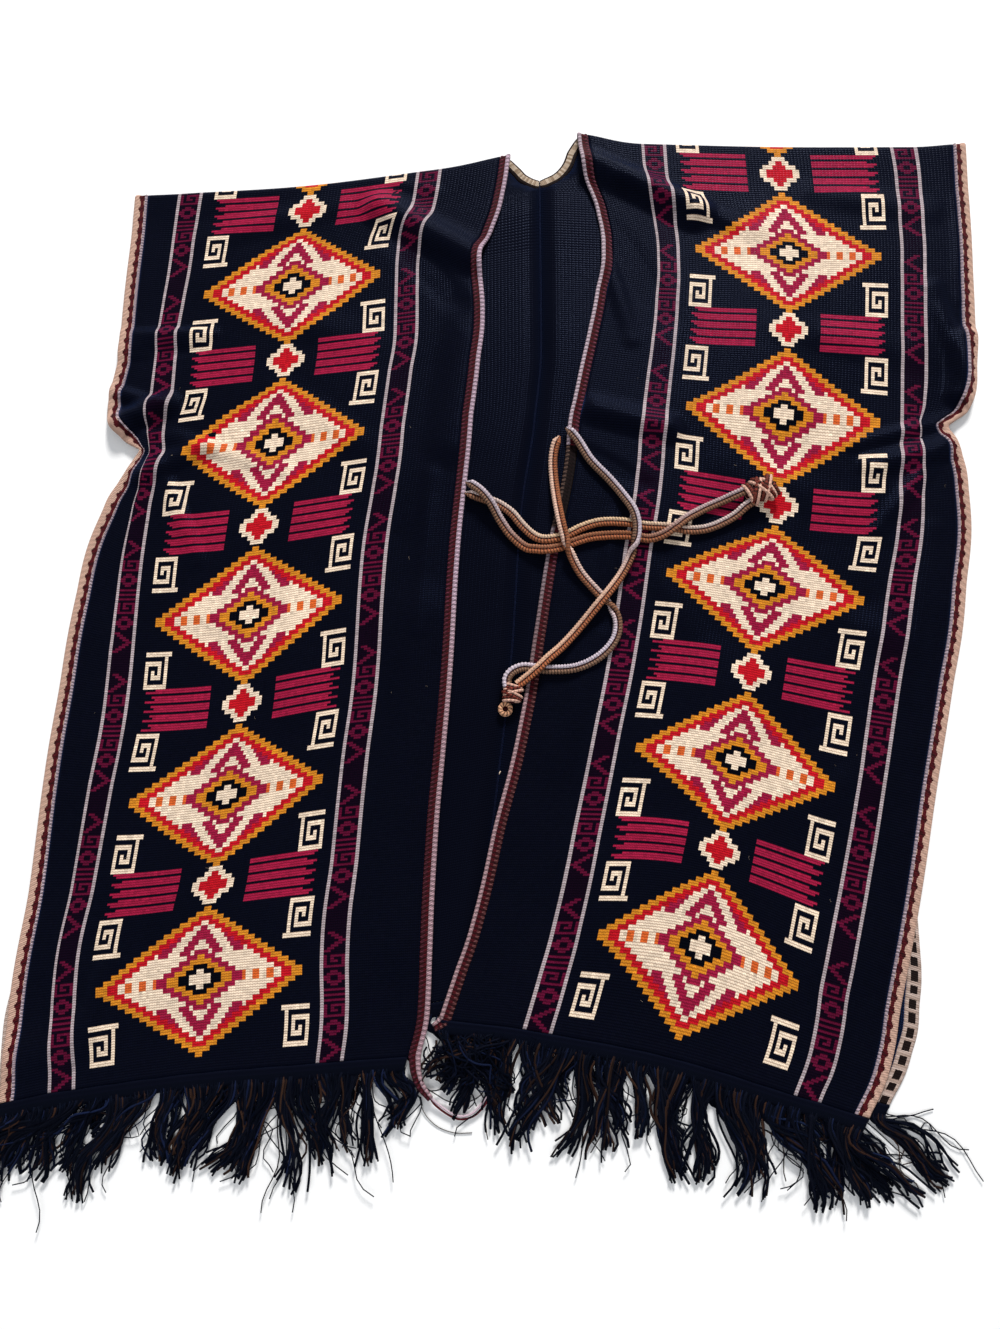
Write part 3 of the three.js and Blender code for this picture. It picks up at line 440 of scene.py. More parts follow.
# Materials.
def plug(tree, value, socket):
    if isinstance(value, bpy.types.NodeSocket):
        tree.links.new(value, socket)
    else:
        socket.default_value = value


def maths(tree, operation, *values):
    made = tree.nodes.new("ShaderNodeMath")
    made.operation = operation
    for value, socket in zip(values, made.inputs):
        plug(tree, value, socket)
    return made.outputs[0]


def ranged(tree, value, low, high, start=0.0, end=1.0):
    made = tree.nodes.new("ShaderNodeMapRange")
    plug(tree, value, made.inputs["Value"])
    for name, number in (("From Min", start), ("From Max", end), ("To Min", low), ("To Max", high)):
        made.inputs[name].default_value = number
    return made.outputs["Result"]


def noise(tree, scale, detail=2.0):
    place = tree.nodes.new("ShaderNodeTexCoord").outputs["Object"]
    made = tree.nodes.new("ShaderNodeTexNoise")
    tree.links.new(place, made.inputs["Vector"])
    made.inputs["Scale"].default_value = scale
    made.inputs["Detail"].default_value = detail
    return made.outputs["Fac"]


def stitch_place(tree):
    uv = tree.nodes.new("ShaderNodeUVMap")
    uv.uv_map = "stitches"
    parts = tree.nodes.new("ShaderNodeSeparateXYZ")
    tree.links.new(uv.outputs["UV"], parts.inputs[0])
    return parts.outputs["X"], parts.outputs["Y"]


def knit_relief(tree):
    """Height of plain knit: two slanted legs a stitch."""
    u, v = stitch_place(tree)
    aside = maths(tree, "ABSOLUTE", maths(tree, "SUBTRACT", maths(tree, "FRACT", u), 0.5))
    off_leg = maths(tree, "ABSOLUTE", maths(tree, "SUBTRACT", aside, 0.25))
    leg = maths(tree, "SUBTRACT", 1.0, maths(tree, "POWER", maths(tree, "MULTIPLY", off_leg, 4.0), 2.0))
    slant = maths(tree, "FRACT", maths(tree, "ADD", v, maths(tree, "MULTIPLY", aside, 0.5)))
    swell = maths(tree, "SINE", maths(tree, "MULTIPLY", slant, math.pi))
    return maths(tree, "MULTIPLY", maths(tree, "ADD", 0.45, maths(tree, "MULTIPLY", leg, 0.55)), swell)


def ply_relief(tree, pitch, lean):
    """Height of twisted yarn: slanted swells along a strand."""
    u, v = stitch_place(tree)
    slanted = maths(tree, "DIVIDE", maths(tree, "ADD", v, maths(tree, "MULTIPLY", u, lean)), pitch)
    return maths(tree, "SINE", maths(tree, "MULTIPLY", maths(tree, "FRACT", slanted), math.pi))


# How much green and blue the gaps between stitches keep, for their warm painted shade. Then how fuzz and dye
# shade the yarn: low, high, and the range of noise that this takes.
GAP_SHADE_TONES = (("Y", 0.84), ("Z", 0.78))
FUZZ_SHADE = (0.9, 1.1, 0.25, 0.75)
DYE_SHADE = (0.93, 1.07, 0.3, 0.7)
FUZZ_RELIEF = 0.35
BUMP_STRENGTH = 0.8
SHEEN_ROUGHNESS = 0.4
FUZZ_SCALE = 1500.0
DYE_SCALE = 14.0
ROUGHNESS_SPREAD = 0.06


def cloth_material(name, relief, depth, shade, roughness, gloss, sheen, tint):
    """Yarn colours from the piece, with painted shade in the hollows of its stitch relief, and uneven dye and
    fuzz.
    """
    material = bpy.data.materials.new(name)
    material.use_nodes = True
    tree = material.node_tree
    shader = tree.nodes["Principled BSDF"]
    height = relief(tree)
    fuzz = noise(tree, FUZZ_SCALE, 3.0)
    patchy = noise(tree, DYE_SCALE, 3.0)
    # Painted shade: the yarn's colour darkens where the stitch or ply relief is low.
    light = ranged(tree, height, shade[0], shade[1])
    light = maths(tree, "MULTIPLY", light, ranged(tree, fuzz, *FUZZ_SHADE))
    light = maths(tree, "MULTIPLY", light, ranged(tree, patchy, *DYE_SHADE))
    # The gaps between stitches get a warm painted shade, with less green and blue.
    channels = tree.nodes.new("ShaderNodeCombineXYZ")
    tree.links.new(light, channels.inputs["X"])
    for channel, lowest in GAP_SHADE_TONES:
        kept = maths(tree, "MULTIPLY", light, ranged(tree, height, lowest, 1.0, 0.0, 0.6))
        tree.links.new(kept, channels.inputs[channel])
    yarn = tree.nodes.new("ShaderNodeVertexColor")
    yarn.layer_name = "yarn"
    tinted = tree.nodes.new("ShaderNodeVectorMath")
    tinted.operation = "MULTIPLY"
    tree.links.new(yarn.outputs["Color"], tinted.inputs[0])
    tree.links.new(channels.outputs[0], tinted.inputs[1])
    tree.links.new(tinted.outputs[0], shader.inputs["Base Color"])
    bump = tree.nodes.new("ShaderNodeBump")
    bump.inputs["Strength"].default_value = BUMP_STRENGTH
    bump.inputs["Distance"].default_value = depth / 1000
    fuzzy = maths(tree, "ADD", height, maths(tree, "MULTIPLY", fuzz, FUZZ_RELIEF))
    tree.links.new(fuzzy, bump.inputs["Height"])
    tree.links.new(bump.outputs["Normal"], shader.inputs["Normal"])
    uneven = ranged(tree, patchy, roughness - ROUGHNESS_SPREAD, roughness + ROUGHNESS_SPREAD, 0.3, 0.7)
    tree.links.new(uneven, shader.inputs["Roughness"])
    shader.inputs["Specular IOR Level"].default_value = gloss
    shader.inputs["Sheen Weight"].default_value = sheen
    shader.inputs["Sheen Roughness"].default_value = SHEEN_ROUGHNESS
    for name in ("Specular Tint", "Sheen Tint"):
        shader.inputs[name].default_value = (*tint, 1)
    return material


BLUE_TINT = (0.12, 0.3, 1.0)
PALE_TINT = (1.0, 0.9, 0.85)
KNIT = cloth_material("knit", knit_relief, 0.25, (0.5, 1.2), 0.3, 0.024, 0.12, BLUE_TINT)
BAND = cloth_material(
    "band_yarn", lambda tree: ply_relief(tree, 1.4, 0.5), 0.4, (0.72, 1.1), 0.7, 0.1, 0.015, PALE_TINT)
CORD = cloth_material(
    "cord_yarn", lambda tree: ply_relief(tree, TIE_PLY / 2, 0.8), 0.4, (0.68, 1.12), 0.65, 0.16, 0.015,
    PALE_TINT)
FRINGE = cloth_material(
    "fringe_yarn", lambda tree: ply_relief(tree, 1.6, 1.2), 0.25, (0.7, 1.2), 0.5, 0.06, 0.015, BLUE_TINT)


# The ties. Each is a flat braid: a lilac ridge, a dark middle with pale ticks, and a tan ridge.
TIE_SECTION = [
    (-3.5, 0.0), (-3.2, 1.25), (-2.3, 2.05), (-1.4, 1.95), (-0.6, 1.2), (0.0, 1.0), (0.6, 1.2), (1.4, 1.95),
    (2.3, 2.05), (3.2, 1.25), (3.5, 0.0), (3.2, -1.25), (2.3, -2.05), (1.4, -1.95), (0.6, -1.2), (0.0, -1.0),
    (-0.6, -1.2), (-1.4, -1.95), (-2.3, -2.05), (-3.2, -1.25),
]
TIE_MIDDLE = 0.7
RIDGE_SWELL = 0.09
TICK_SHARE = 0.3
# Painted shade on the ridges: how much colour they keep between the ply's swells, and how much more they get
# on them.
PALE_SHADE = (0.74, 0.3)
BROWN_SHADE = (0.3, 0.75)
YARN_SPREAD = 0.05


def braid_rings(line, along, scale, turn):
    """Rings of a flat braid along a line, whose ridges swell with the ply, turned over by an angle."""
    level, upright = line_frames(line[None])
    c, s = np.cos(turn)[:, None], np.sin(turn)[:, None]
    across = c * level[0] + s * upright[0]
    above = c * upright[0] - s * level[0]
    section = np.array(TIE_SECTION)
    phase = FULL_TURN * along[:, None] / TIE_PLY + np.sign(section[:, 0]) * section[:, 1] * 0.9
    ridge = np.abs(section[:, 0]) > TIE_MIDDLE
    swell = 1 + np.where(ridge, RIDGE_SWELL * np.sin(phase), 0.0)
    x = section[:, 0] * swell * scale
    y = section[:, 1] * swell * scale
    return line[:, None] + x[..., None] * across[:, None] + y[..., None] * above[:, None]


def braid_colours(along, lit_share, tones, flip=False, seed=0):
    """A colour for each face between the rings of a braid. lit_share runs from 0 (painted shade) to 1
    (painted light) along it.
    """
    section = np.array(TIE_SECTION)
    middle = (section + np.roll(section, -1, axis=0))[:, 0] / 2 * (-1 if flip else 1)
    phase = (along[:-1, None] / TIE_PLY + section[:, 1] * 0.14) % 1
    swell = np.sin(math.pi * phase)[..., None]
    lit_share = lit_share[:-1, None]
    shaded_pale, lit_pale, shaded_brown, lit_brown, shaded_tick, lit_tick = tones
    # Painted light: each yarn's shaded tone is mixed into its lit one by the lit share.
    tick = mix(shaded_tick, lit_tick, lit_share)
    dark = np.where((phase < TICK_SHARE)[..., None], tick, np.array(INK, float))
    # Painted shade: the ridges darken between the swells of the ply.
    pale = mix(shaded_pale, lit_pale, lit_share) * (PALE_SHADE[0] + PALE_SHADE[1] * swell)
    brown = mix(shaded_brown, lit_brown, lit_share) * (BROWN_SHADE[0] + BROWN_SHADE[1] * swell)
    colours = np.where((middle > TIE_MIDDLE)[:, None], brown, dark)
    colours = np.where((middle < -TIE_MIDDLE)[:, None], pale, colours)
    uneven = np.random.default_rng(seed).normal(1, YARN_SPREAD, colours.shape[:2])
    return colours * uneven[..., None]


def tie_around():
    return run_along(np.array(TIE_SECTION + TIE_SECTION[:1]))


# How each tie is laid: which side is up, how lit its yarns look along it as painted light and shade (share,
# lit share), the lit tone of its pale ridge, and where it turns over.
TIE_LOOKS = {
    "left_tie_a": (
        True, [(0, 0), (0.14, 0.1), (0.3, 0.9), (0.6, 1), (0.8, 0.3), (1, 0.2)], (152, 96, 66), []),
    "left_tie_b": (
        True, [(0, 0.3), (0.2, 0.5), (0.35, 0.9), (0.6, 0.9), (0.85, 0.3), (1, 0.3)], (226, 190, 150), []),
    "right_tie_a": (
        True, [(0, 0), (0.4, 0), (0.56, 0.8), (1, 1)], (226, 180, 150), [0.45]),
    "right_tie_b": (
        False, [(0, 0.9), (0.3, 0.8), (0.5, 0.5), (0.62, 0), (1, 0)], (230, 188, 162), [0.34, 0.54]),
}
# Painted shaded and lit tones that the ties share: shaded pale, shaded and lit brown, shaded and lit ticks.
# Then how much of a tie's length a turn over takes, and how long and deep its start is sunk.
TIE_SHADED_AND_LIT_TONES = ((204, 192, 204), (138, 106, 86), (180, 106, 68), (78, 28, 30), (142, 64, 38))
TWIST_SHARE = 0.07
SUNK_LENGTH = 7.0
SUNK_DEPTH = 2.4


def make_tie(name, number):
    line, along = spline(TIES[name], TIE_STEP)
    flip, lighting, lit_pale, twists = TIE_LOOKS[name]
    lit_share = np.interp(along / along[-1], *zip(*lighting))
    rise = ease(np.clip(along / SUNK_LENGTH, 0, 1))
    turn = np.zeros(len(along))
    for count, place in enumerate(twists):
        part = np.clip((along / along[-1] - place) / TWIST_SHARE + 0.5, 0, 1)
        turn += math.pi * ease(part) * (-1) ** count
    laid = line - np.stack([0 * rise, 0 * rise, SUNK_DEPTH * (1 - rise)], axis=1)
    scale = TIE_SWELL * (0.35 + 0.65 * rise)[:, None]
    shape = Shape()
    tones = (TIE_SHADED_AND_LIT_TONES[0], lit_pale, *TIE_SHADED_AND_LIT_TONES[1:])
    colours = braid_colours(along, lit_share, tones, flip, number)
    loft(shape, braid_rings(laid, along, scale, turn)[None], colours[None], tie_around())
    made = shape.build(name + "_braid", CORD, [name])
    path = (line[::3] - CENTRE) / 1000
    return made, path, float(along[-1]) / 1000


# Each knot: its middle, half sizes, turn in degrees, ties, the turns of braid round it as places along it
# with their lean, the size of that braid, and the middle of its eye.
KNOTS = {
    "left_tie_knot": {
        "at": (227, 152.5, 14.2), "half": (14.5, 12.0, 5.6), "turn": 20, "ties": ("left_tie_a", "left_tie_b"),
        "turns": [(-0.66, 8), (-0.2, -30), (0.16, 32), (0.42, -34), (0.72, 16)], "braid": 0.9,
    },
    "right_tie_knot": {
        "at": (10.5, -27.5, 9.6), "half": (8.6, 8.0, 4.4), "turn": 80, "ties": ("right_tie_a", "right_tie_b"),
        "turns": [(-0.5, 8), (-0.05, -16), (0.34, 24), (0.66, -8)], "braid": 0.74, "eye": (4.6, -39.6, 5.4),
    },
}
KNOT_TONES = [tone for tone in ((226, 180, 160), (124, 54, 44), (84, 26, 22)) for _ in range(2)]
EYE_TONES = [tone for tone in ((236, 182, 146), (238, 178, 138), (190, 110, 72)) for _ in range(2)]
EYE_RADIUS = 4.2
EYE_BRAID = 0.98
EYE_SIDES = 12
CORE_SIDES = 10
KNOT_STEPS = 49
TURN_REACH = 0.94
TURN_GROWTH = 0.04
CORE_REACH = 0.9
CORE_TAPER = 0.86
CORE_POINTS = 9
KNOT_SEED = 20
EYE_SEED = 40


def turned(points, degrees):
    angle = math.radians(degrees)
    c, s = math.cos(angle), math.sin(angle)
    return points @ np.array([[c, s, 0], [-s, c, 0], [0, 0, 1]])


def ring_of_braid(shape, line, tones, flip, seed, size):
    """A closed turn of thin braid along a line whose ends meet inside the knot."""
    along = run_along(line)
    tangents = unit(np.gradient(line, axis=0))
    out = unit(line - line[:-1].mean(axis=0))
    across = unit(np.cross(tangents, out))
    section = np.array(TIE_SECTION) * size
    rings = line[:, None] + section[:, 0, None] * across[:, None] + section[:, 1, None] * out[:, None]
    colours = braid_colours(along, np.zeros(len(along)), tones, flip, seed)
    loft(shape, rings[None], colours[None], tie_around() * size)


def make_knot(name, spec):
    shape = Shape()
    half = np.array(spec["half"], float)
    at = np.array(spec["at"])
    angles = np.linspace(0, FULL_TURN, KNOT_STEPS)
    for number, (share, lean) in enumerate(spec["turns"]):
        reach = half[1:] * math.sqrt(1 - share * share) * (TURN_REACH + number * TURN_GROWTH)
        ring = np.stack([0 * angles, reach[0] * np.cos(angles), reach[1] * np.sin(angles)], axis=1)
        ring = turned(ring, lean) + np.array([share * half[0], 0, 0])
        ring = turned(ring, spec["turn"]) + at
        ring_of_braid(shape, ring, KNOT_TONES, number % 2 == 0, KNOT_SEED + number, spec["braid"])
    if "eye" in spec:
        eye_at = np.array(spec["eye"])
        eye = EYE_RADIUS * np.stack([np.cos(angles), np.sin(angles), 0 * angles], axis=1)
        ring_of_braid(shape, eye + eye_at, EYE_TONES, True, EYE_SEED, EYE_BRAID)
        middle = eye_at + np.array([[0, 0, -3.0], [0, 0, 0.4]])
        tubes(shape, middle[None], EYE_RADIUS - 1.2, EYE_SIDES, np.array(DARK_RED) * 0.8)
    # A dark core fills the middle of the turns.
    steps = np.linspace(-1, 1, CORE_POINTS)
    core_line = CORE_REACH * steps[:, None] * np.array([half[0], 0, 0])
    core_line = turned(core_line, spec["turn"]) + at
    radii = half[2] * np.sqrt(1 - (CORE_TAPER * steps) ** 2)
    tubes(shape, core_line[None], radii[None], CORE_SIDES, np.array(DARK_RED) * 0.6)
    return shape.build(name + "_turns", CORD, [name])


camera()
knots = {name: make_knot(name, spec) for name, spec in KNOTS.items()}
for number, name in enumerate(TIES):
    tie, path, length = make_tie(name, number)


# The cloth's plan and heights, after the part's source.
ANCHORS = ("outer", "outer_stripe", "inner_stripe", "inner")


def table_columns(rows):
    places, *columns = zip(*rows)
    return places, {name: np.array([column], float) for name, column in zip(ANCHORS, columns)}


def row_points(anchors, across):
    """Points across rows, from the rows' anchors (each (rows, 2)) and places (rows, count)."""
    outer, outer_stripe, inner_stripe, inner = (anchors[name] for name in ANCHORS)
    whole = np.linalg.norm(outer_stripe - outer, axis=-1, keepdims=True)
    beside_band = moved(outer, outer_stripe, np.minimum(SIDE_BAND, 0.5 * whole))
    beside_braid = moved(inner, inner_stripe, FRONT_BRAID)
    values = np.stack([outer, beside_band, outer_stripe, inner_stripe, beside_braid, inner], axis=1)
    places = [0, BAND_END, OUTER_STRIPE, INNER_STRIPE, BRAID_START, 1]
    return smooth(places, values, across)


def plan(part, layer, downs, across):
    places, columns = part[layer]
    anchors = {name: smooth(places, values, downs[None])[0] for name, values in columns.items()}
    return row_points(anchors, across)


def seam_x(y):
    return smooth_line([-row[0] for row in SEAM], [[row[1]] for row in SEAM], -np.asarray(y, float))[:, 0]


def neck_points(part, shares, inset):
    """The neck's edge at shares, moved in over the cloth."""
    places = np.arange(4) / 3
    here = smooth_line(places, part["neck"], shares)
    near = smooth_line(places, part["neck"], shares - 0.01)
    tangent = unit(here - near)
    side = part["side"]
    point = here + np.stack([side * tangent[:, 1], -side * tangent[:, 0]], axis=1) * inset
    point[:, 0] = np.where(shares >= 1, here[:, 0] - side * SEAM_GAP / 2, point[:, 0])
    return point


def back_table(part, table):
    front = part["front"][1]
    first_outer, first_stripe = front["outer"][0, 0], front["inner_stripe"][0, 0]
    inset = FRONT_BRAID + SEAM_GAP
    rows = [(0, first_outer, moved(front["inner"][0, 0], first_stripe, inset))]
    for share, inner in zip(NECK_SHARES, neck_points(part, np.array(NECK_SHARES), inset)):
        outer = first_outer + (np.array(table[0][1]) - first_outer) * share
        rows.append((NECK_DOWN * share, outer, inner))
    for i, (down, outer, height) in enumerate(table):
        y = neck_points(part, np.ones(1), inset)[0, 1] if i == 0 else height
        x = seam_x([y])[0] - part["side"] * SEAM_GAP / 2
        rows.append((down, np.array(outer, float), np.array([x, y])))
    filled = [(down, o, o + (i - o) * OUTER_STRIPE, o + (i - o) * INNER_STRIPE, i) for down, o, i in rows]
    return table_columns(filled)


def fold_height(folds, xy, taper):
    """Height that ridges add at places (..., 2)."""
    height = np.zeros(xy.shape[:-1])
    for start, end, half_width, top in folds:
        start, run = np.array(start, float), np.subtract(end, start).astype(float)
        along = np.clip((xy - start) @ run / (run @ run), 0, 1)
        away = np.linalg.norm(xy - start - along[..., None] * run, axis=-1) / half_width
        ridge = np.where(away < 1, top * 0.5 * (1 + np.cos(math.pi * away)), 0)
        height += ridge * (np.sin(math.pi * np.clip(along, *CREASE_ENDS)) ** 0.7 if taper else 1)
    return height


def front_points(part, downs, across):
    xy = plan(part, "front", downs, across)
    down = downs[:, None] * PANEL_LENGTH
    settle = np.exp(-((down / SHOULDER_SETTLE) ** 2))
    opened = np.minimum(1, down / SHOULDER_SETTLE)
    lift = 2 * FOLD_RADIUS + CLOTH / 2 - FRONT_LAYER
    relief = fold_height(part["folds"], xy, False) + CREASE_SCALE * fold_height(part["creases"], xy, True)
    z = FRONT_LAYER + lift * settle + opened * np.maximum(relief, LOWEST_TROUGH)
    return np.concatenate([xy, z[..., None]], axis=-1)


def front_spots(part, downs, across):
    """Middle points of the front cloth with their outward normals."""
    point = front_points(part, downs, across)
    along_row = front_points(part, downs, across + NORMAL_STEP)
    along_row = along_row - front_points(part, downs, across - NORMAL_STEP)
    above = front_points(part, np.maximum(downs - NORMAL_STEP, 0), across)
    normal = unit(np.cross(along_row, front_points(part, downs + NORMAL_STEP, across) - above))
    normal *= np.where(normal[..., 2:] < 0, -1, 1)
    return point, normal


def fold_down(thick):
    return (FOLD_RADIUS + thick / 2) / PANEL_LENGTH


def fold_spots(part, across, degrees, thick):
    """The shoulder's fold, from the front (90 degrees) to the back (-90). across is (count,)."""
    edge = plan(part, "front", np.zeros(1), across[None])[0]
    inside = plan(part, "front", np.full(1, fold_down(thick)), across[None])[0]
    out = unit(edge - inside)
    turn = np.radians(degrees)[:, None]
    level = out * np.cos(turn)[..., None]
    normal = np.concatenate([level, np.sin(turn)[..., None] + 0 * level[..., :1]], axis=-1)
    centre = np.concatenate([inside, np.full((len(inside), 1), thick / 2 + FOLD_RADIUS)], axis=1)
    return centre + normal * FOLD_RADIUS, normal


def folded(part, thick, across, back, front_count, back_count, joined_at):
    """Spots of a strip from the front hem, over the shoulder, to its far end. across(downs) gives the
    places across front rows, back(shares) the points of back rows, which leave the fold up to joined_at."""
    downs = np.linspace(1, fold_down(thick), front_count)
    front, front_normals = front_spots(part, downs, across(downs))
    turns = np.linspace(90, -90, FOLD_STEPS + 1)[1:]
    fold, fold_normals = fold_spots(part, across(np.zeros(1))[0], turns, thick)
    shares = np.arange(1, back_count + 1) / back_count
    xy = back(shares)
    weight = np.minimum(1, shares / joined_at)[:, None, None]
    xy = fold[-1][None, :, :2] * (1 - weight) + xy * weight
    z = thick / 2 + fold_height(BACK_CREASES, xy, True)
    rear = np.concatenate([xy, z[..., None]], axis=-1)
    rear_normals = np.zeros_like(rear)
    rear_normals[..., 2] = -1
    return np.concatenate([front, fold, rear]), np.concatenate([front_normals, fold_normals, rear_normals])


def make_part(side, front, back, neck, folds, creases):
    part = {"side": side, "folds": folds, "creases": creases, "neck": np.array(neck, float)}
    part["front"] = table_columns(front)
    part["back"] = back_table(part, back)
    return part


PARTS = {
    "left": make_part(1, LEFT_FRONT, LEFT_BACK, LEFT_NECK, LEFT_FOLDS, LEFT_CREASES),
    "right": make_part(-1, RIGHT_FRONT, RIGHT_BACK, RIGHT_NECK, RIGHT_FOLDS, RIGHT_CREASES),
}


def band_share(part, downs):
    """Where the panel starts across each row: past the band and a gap, wider where the edge is gathered."""
    ends = plan(part, "front", downs, np.tile([0.0, BAND_END], (len(downs), 1)))
    whole = np.linalg.norm(ends[:, 1] - ends[:, 0], axis=-1)
    return BAND_END + GAP_SHARE * np.maximum(1, SIDE_BAND / whole)


# The panels' own design: stepped medallions with square hooks at their corners, small diamonds between bars.
FIRST_MEDALLION = 36
MEDALLION_PITCH = 77
MEDALLION_HALF = 30
MEDALLION_RINGS = [
    (1.02, OCHRE_YARN), (0.93, RED_YARN), (0.82, CREAM_YARN), (0.46, CRIMSON_YARN), (0.36, OCHRE_YARN),
    (0.25, BLACK_YARN), (0.14, CREAM_YARN),
]
RING_STRIPES_FROM = 9
RING_NOTCHES_TO = 3
# The small diamond's reach aside and above, its red core, and where the bars beside it start and end.
SMALL_REACH = (6, 8)
SMALL_CORE = 0.55
BARS_FROM = 10
BARS_TO = 27
BARS_HALF = 9
HOOK_GAP = 13
HOOK_COLUMNS = (76, 22)
FIELD_MIDDLE = 52.5
HOOK = [
    ".#######",
    ".#.....#",
    ".#.###.#",
    ".#.#.#.#",
    ".#.#...#",
    ".#.#####",
    ".#......",
    "########",
]
STRIPE_COLUMNS = (10, 17, 87, 94)
BAND_COLUMNS = ((11, 17), (88, 94))
# The stripe band's repeat: six stitches wide, read up the band.
ZIGZAG = ["##....", ".##...", "..##..", "...##.", "....##", "...##.", "..##..", ".##..."]
LOZENGE = ["..##..", ".####.", "##..##", "##..##", ".####.", "..##..", "......"]
RUNGS = ["######", "......", "######", "......", "######", "......"]
KEY = ["######", "#....#", "#.##.#", "#.#..#", "#.####", "......"]
REST = ["......"] * 9
BAND_REPEAT = ZIGZAG + ZIGZAG[:1] + ["......"] + LOZENGE + KEY + RUNGS + LOZENGE + KEY + ZIGZAG + REST


def stamp(chart, drawing, row, column, yarn, tall=1):
    for i, line in enumerate(drawing):
        for j, mark in enumerate(line):
            if mark == "#":
                top = row + i * tall
                chart[max(top, 0):max(top + tall, 0), column + j] = yarn


def medallion(chart, middle):
    """A stepped medallion: rings of ochre, red, striped cream, crimson and ochre round a small pip."""
    rows, columns = np.mgrid[0:chart.shape[0], 0:COLUMNS]
    aside = np.floor(np.abs(columns - FIELD_MIDDLE) + 0.5)
    above = np.floor(np.abs(rows - middle + 0.5) / 2) * 2 + 1
    out = (aside + above) / MEDALLION_HALF
    for limit, yarn in MEDALLION_RINGS:
        chart[out < limit] = yarn
    pale = (out < MEDALLION_RINGS[2][0]) & (out >= MEDALLION_RINGS[3][0])
    striped = np.floor((aside + above / 2) / 3) % 2 == 1
    chart[pale & (above > RING_STRIPES_FROM) & striped] = CRIMSON_YARN
    chart[pale & (above < RING_NOTCHES_TO) & (np.floor(aside / 2) % 2 == 0)] = ORANGE_YARN


def between_medallions(chart, middle):
    """A small diamond with a bundle of crimson bars on each side."""
    rows, columns = np.mgrid[0:chart.shape[0], 0:COLUMNS]
    aside = np.abs(columns - FIELD_MIDDLE)
    above = np.abs(rows - middle + 0.5)
    out = np.floor(aside) / SMALL_REACH[0] + np.floor(above / 2) * 2 / SMALL_REACH[1]
    chart[out < 1.0] = CREAM_YARN
    chart[out < SMALL_CORE] = RED_YARN
    beside = (aside > BARS_FROM) & (aside < BARS_TO + (rows % 4))
    chart[beside & (above < BARS_HALF) & ((rows - middle + BARS_HALF) % 4 < 3)] = CRIMSON_YARN


def panel_chart(rows):
    """The yarn of every stitch of a panel, from the front hem over the shoulder to the back hem."""
    chart = np.full((rows, COLUMNS), NAVY_YARN)
    middles = range(FIRST_MEDALLION, rows + MEDALLION_PITCH, MEDALLION_PITCH)
    for middle in middles[1:]:
        between_medallions(chart, middle - MEDALLION_PITCH // 2)
    for middle in middles:
        medallion(chart, middle)
        for up in (1, -1):
            top = middle + HOOK_GAP if up == -1 else middle - HOOK_GAP - 2 * len(HOOK)
            for column, flip in zip(HOOK_COLUMNS, (1, -1)):
                stamp(chart, [line[::flip] for line in HOOK[::up]], top, column, CREAM_YARN, 2)
    for start, end in BAND_COLUMNS:
        chart[:, start:end] = DARK_PLUM_YARN
        for row in range(0, rows, len(BAND_REPEAT)):
            stamp(chart, BAND_REPEAT[:rows - row], row, start, PLUM_YARN)
    chart[:, STRIPE_COLUMNS] = STRIPE_YARN
    return chart


def inner_face(shape, points, colour):
    """The wall's inner side, with few faces but every point of the border. Returns its points' numbers."""
    rows, columns = points.shape[:2]
    row_marks = sorted({*range(0, rows - 1, INNER_STEP), rows - 1})
    column_marks = sorted({*range(0, columns - 1, INNER_STEP), columns - 1})
    used = np.zeros((rows, columns), bool)
    used[np.ix_(row_marks, column_marks)] = True
    used[0] = used[-1] = used[:, 0] = used[:, -1] = True
    number = np.full((rows, columns), -1)
    number[used] = np.arange(used.sum())
    number += shape.add_points(points[used])
    by_size = {}
    for top, bottom in zip(row_marks[:-1], row_marks[1:]):
        for left, right in zip(column_marks[:-1], column_marks[1:]):
            walk = [(top, j) for j in (range(left, right) if top == 0 else (left,))]
            walk += [(i, right) for i in (range(top, bottom) if right == columns - 1 else (top,))]
            walk += [(bottom, j) for j in (range(right, left, -1) if bottom == rows - 1 else (right,))]
            walk += [(i, left) for i in (range(bottom, top, -1) if left == 0 else (bottom,))]
            by_size.setdefault(len(walk), []).append(walk)
    for walks in by_size.values():
        walks = np.array(walks)
        shape.add_faces(number[walks[..., 0], walks[..., 1]], colour, walks[..., ::-1].astype(float))
    return number


def wall(shape, points, normals, thick, chart):
    """A closed cloth wall: a fine outer face with a colour for each stitch, and a plain inner one."""
    rows, columns = points.shape[:2]
    outer = points + normals * thick / 2
    first = shape.add_points(outer)
    index = first + np.arange(rows * columns).reshape(rows, columns)
    quads = np.stack([index[:-1, :-1], index[1:, :-1], index[1:, 1:], index[:-1, 1:]], axis=-1)
    i, j = np.mgrid[0:rows - 1, 0:columns - 1]
    uvs = corner_uvs(j, i, j + 1, i + 1)[:, [0, 3, 2, 1]]
    uneven = np.random.default_rng(rows).normal(1, STITCH_SPREAD, chart.shape)[..., None]
    colours = np.array(YARNS, float)[chart] * uneven
    shape.add_faces(quads.reshape(-1, 4), colours.reshape(-1, 3), uvs)
    number = inner_face(shape, points - normals * thick / 2, np.array(NAVY))
    border = [(0, j) for j in range(columns)] + [(i, columns - 1) for i in range(1, rows)]
    border += [(rows - 1, j) for j in range(columns - 2, -1, -1)] + [(i, 0) for i in range(rows - 2, 0, -1)]
    border = np.array(border)
    after = np.roll(border, -1, axis=0)
    here, there = tuple(border.T), tuple(after.T)
    sides = np.stack([index[here], index[there], number[there], number[here]], axis=-1)
    uv = np.stack([border, after, after, border], axis=1)[..., ::-1].astype(float)
    shape.add_faces(sides, np.array(NAVY), uv)


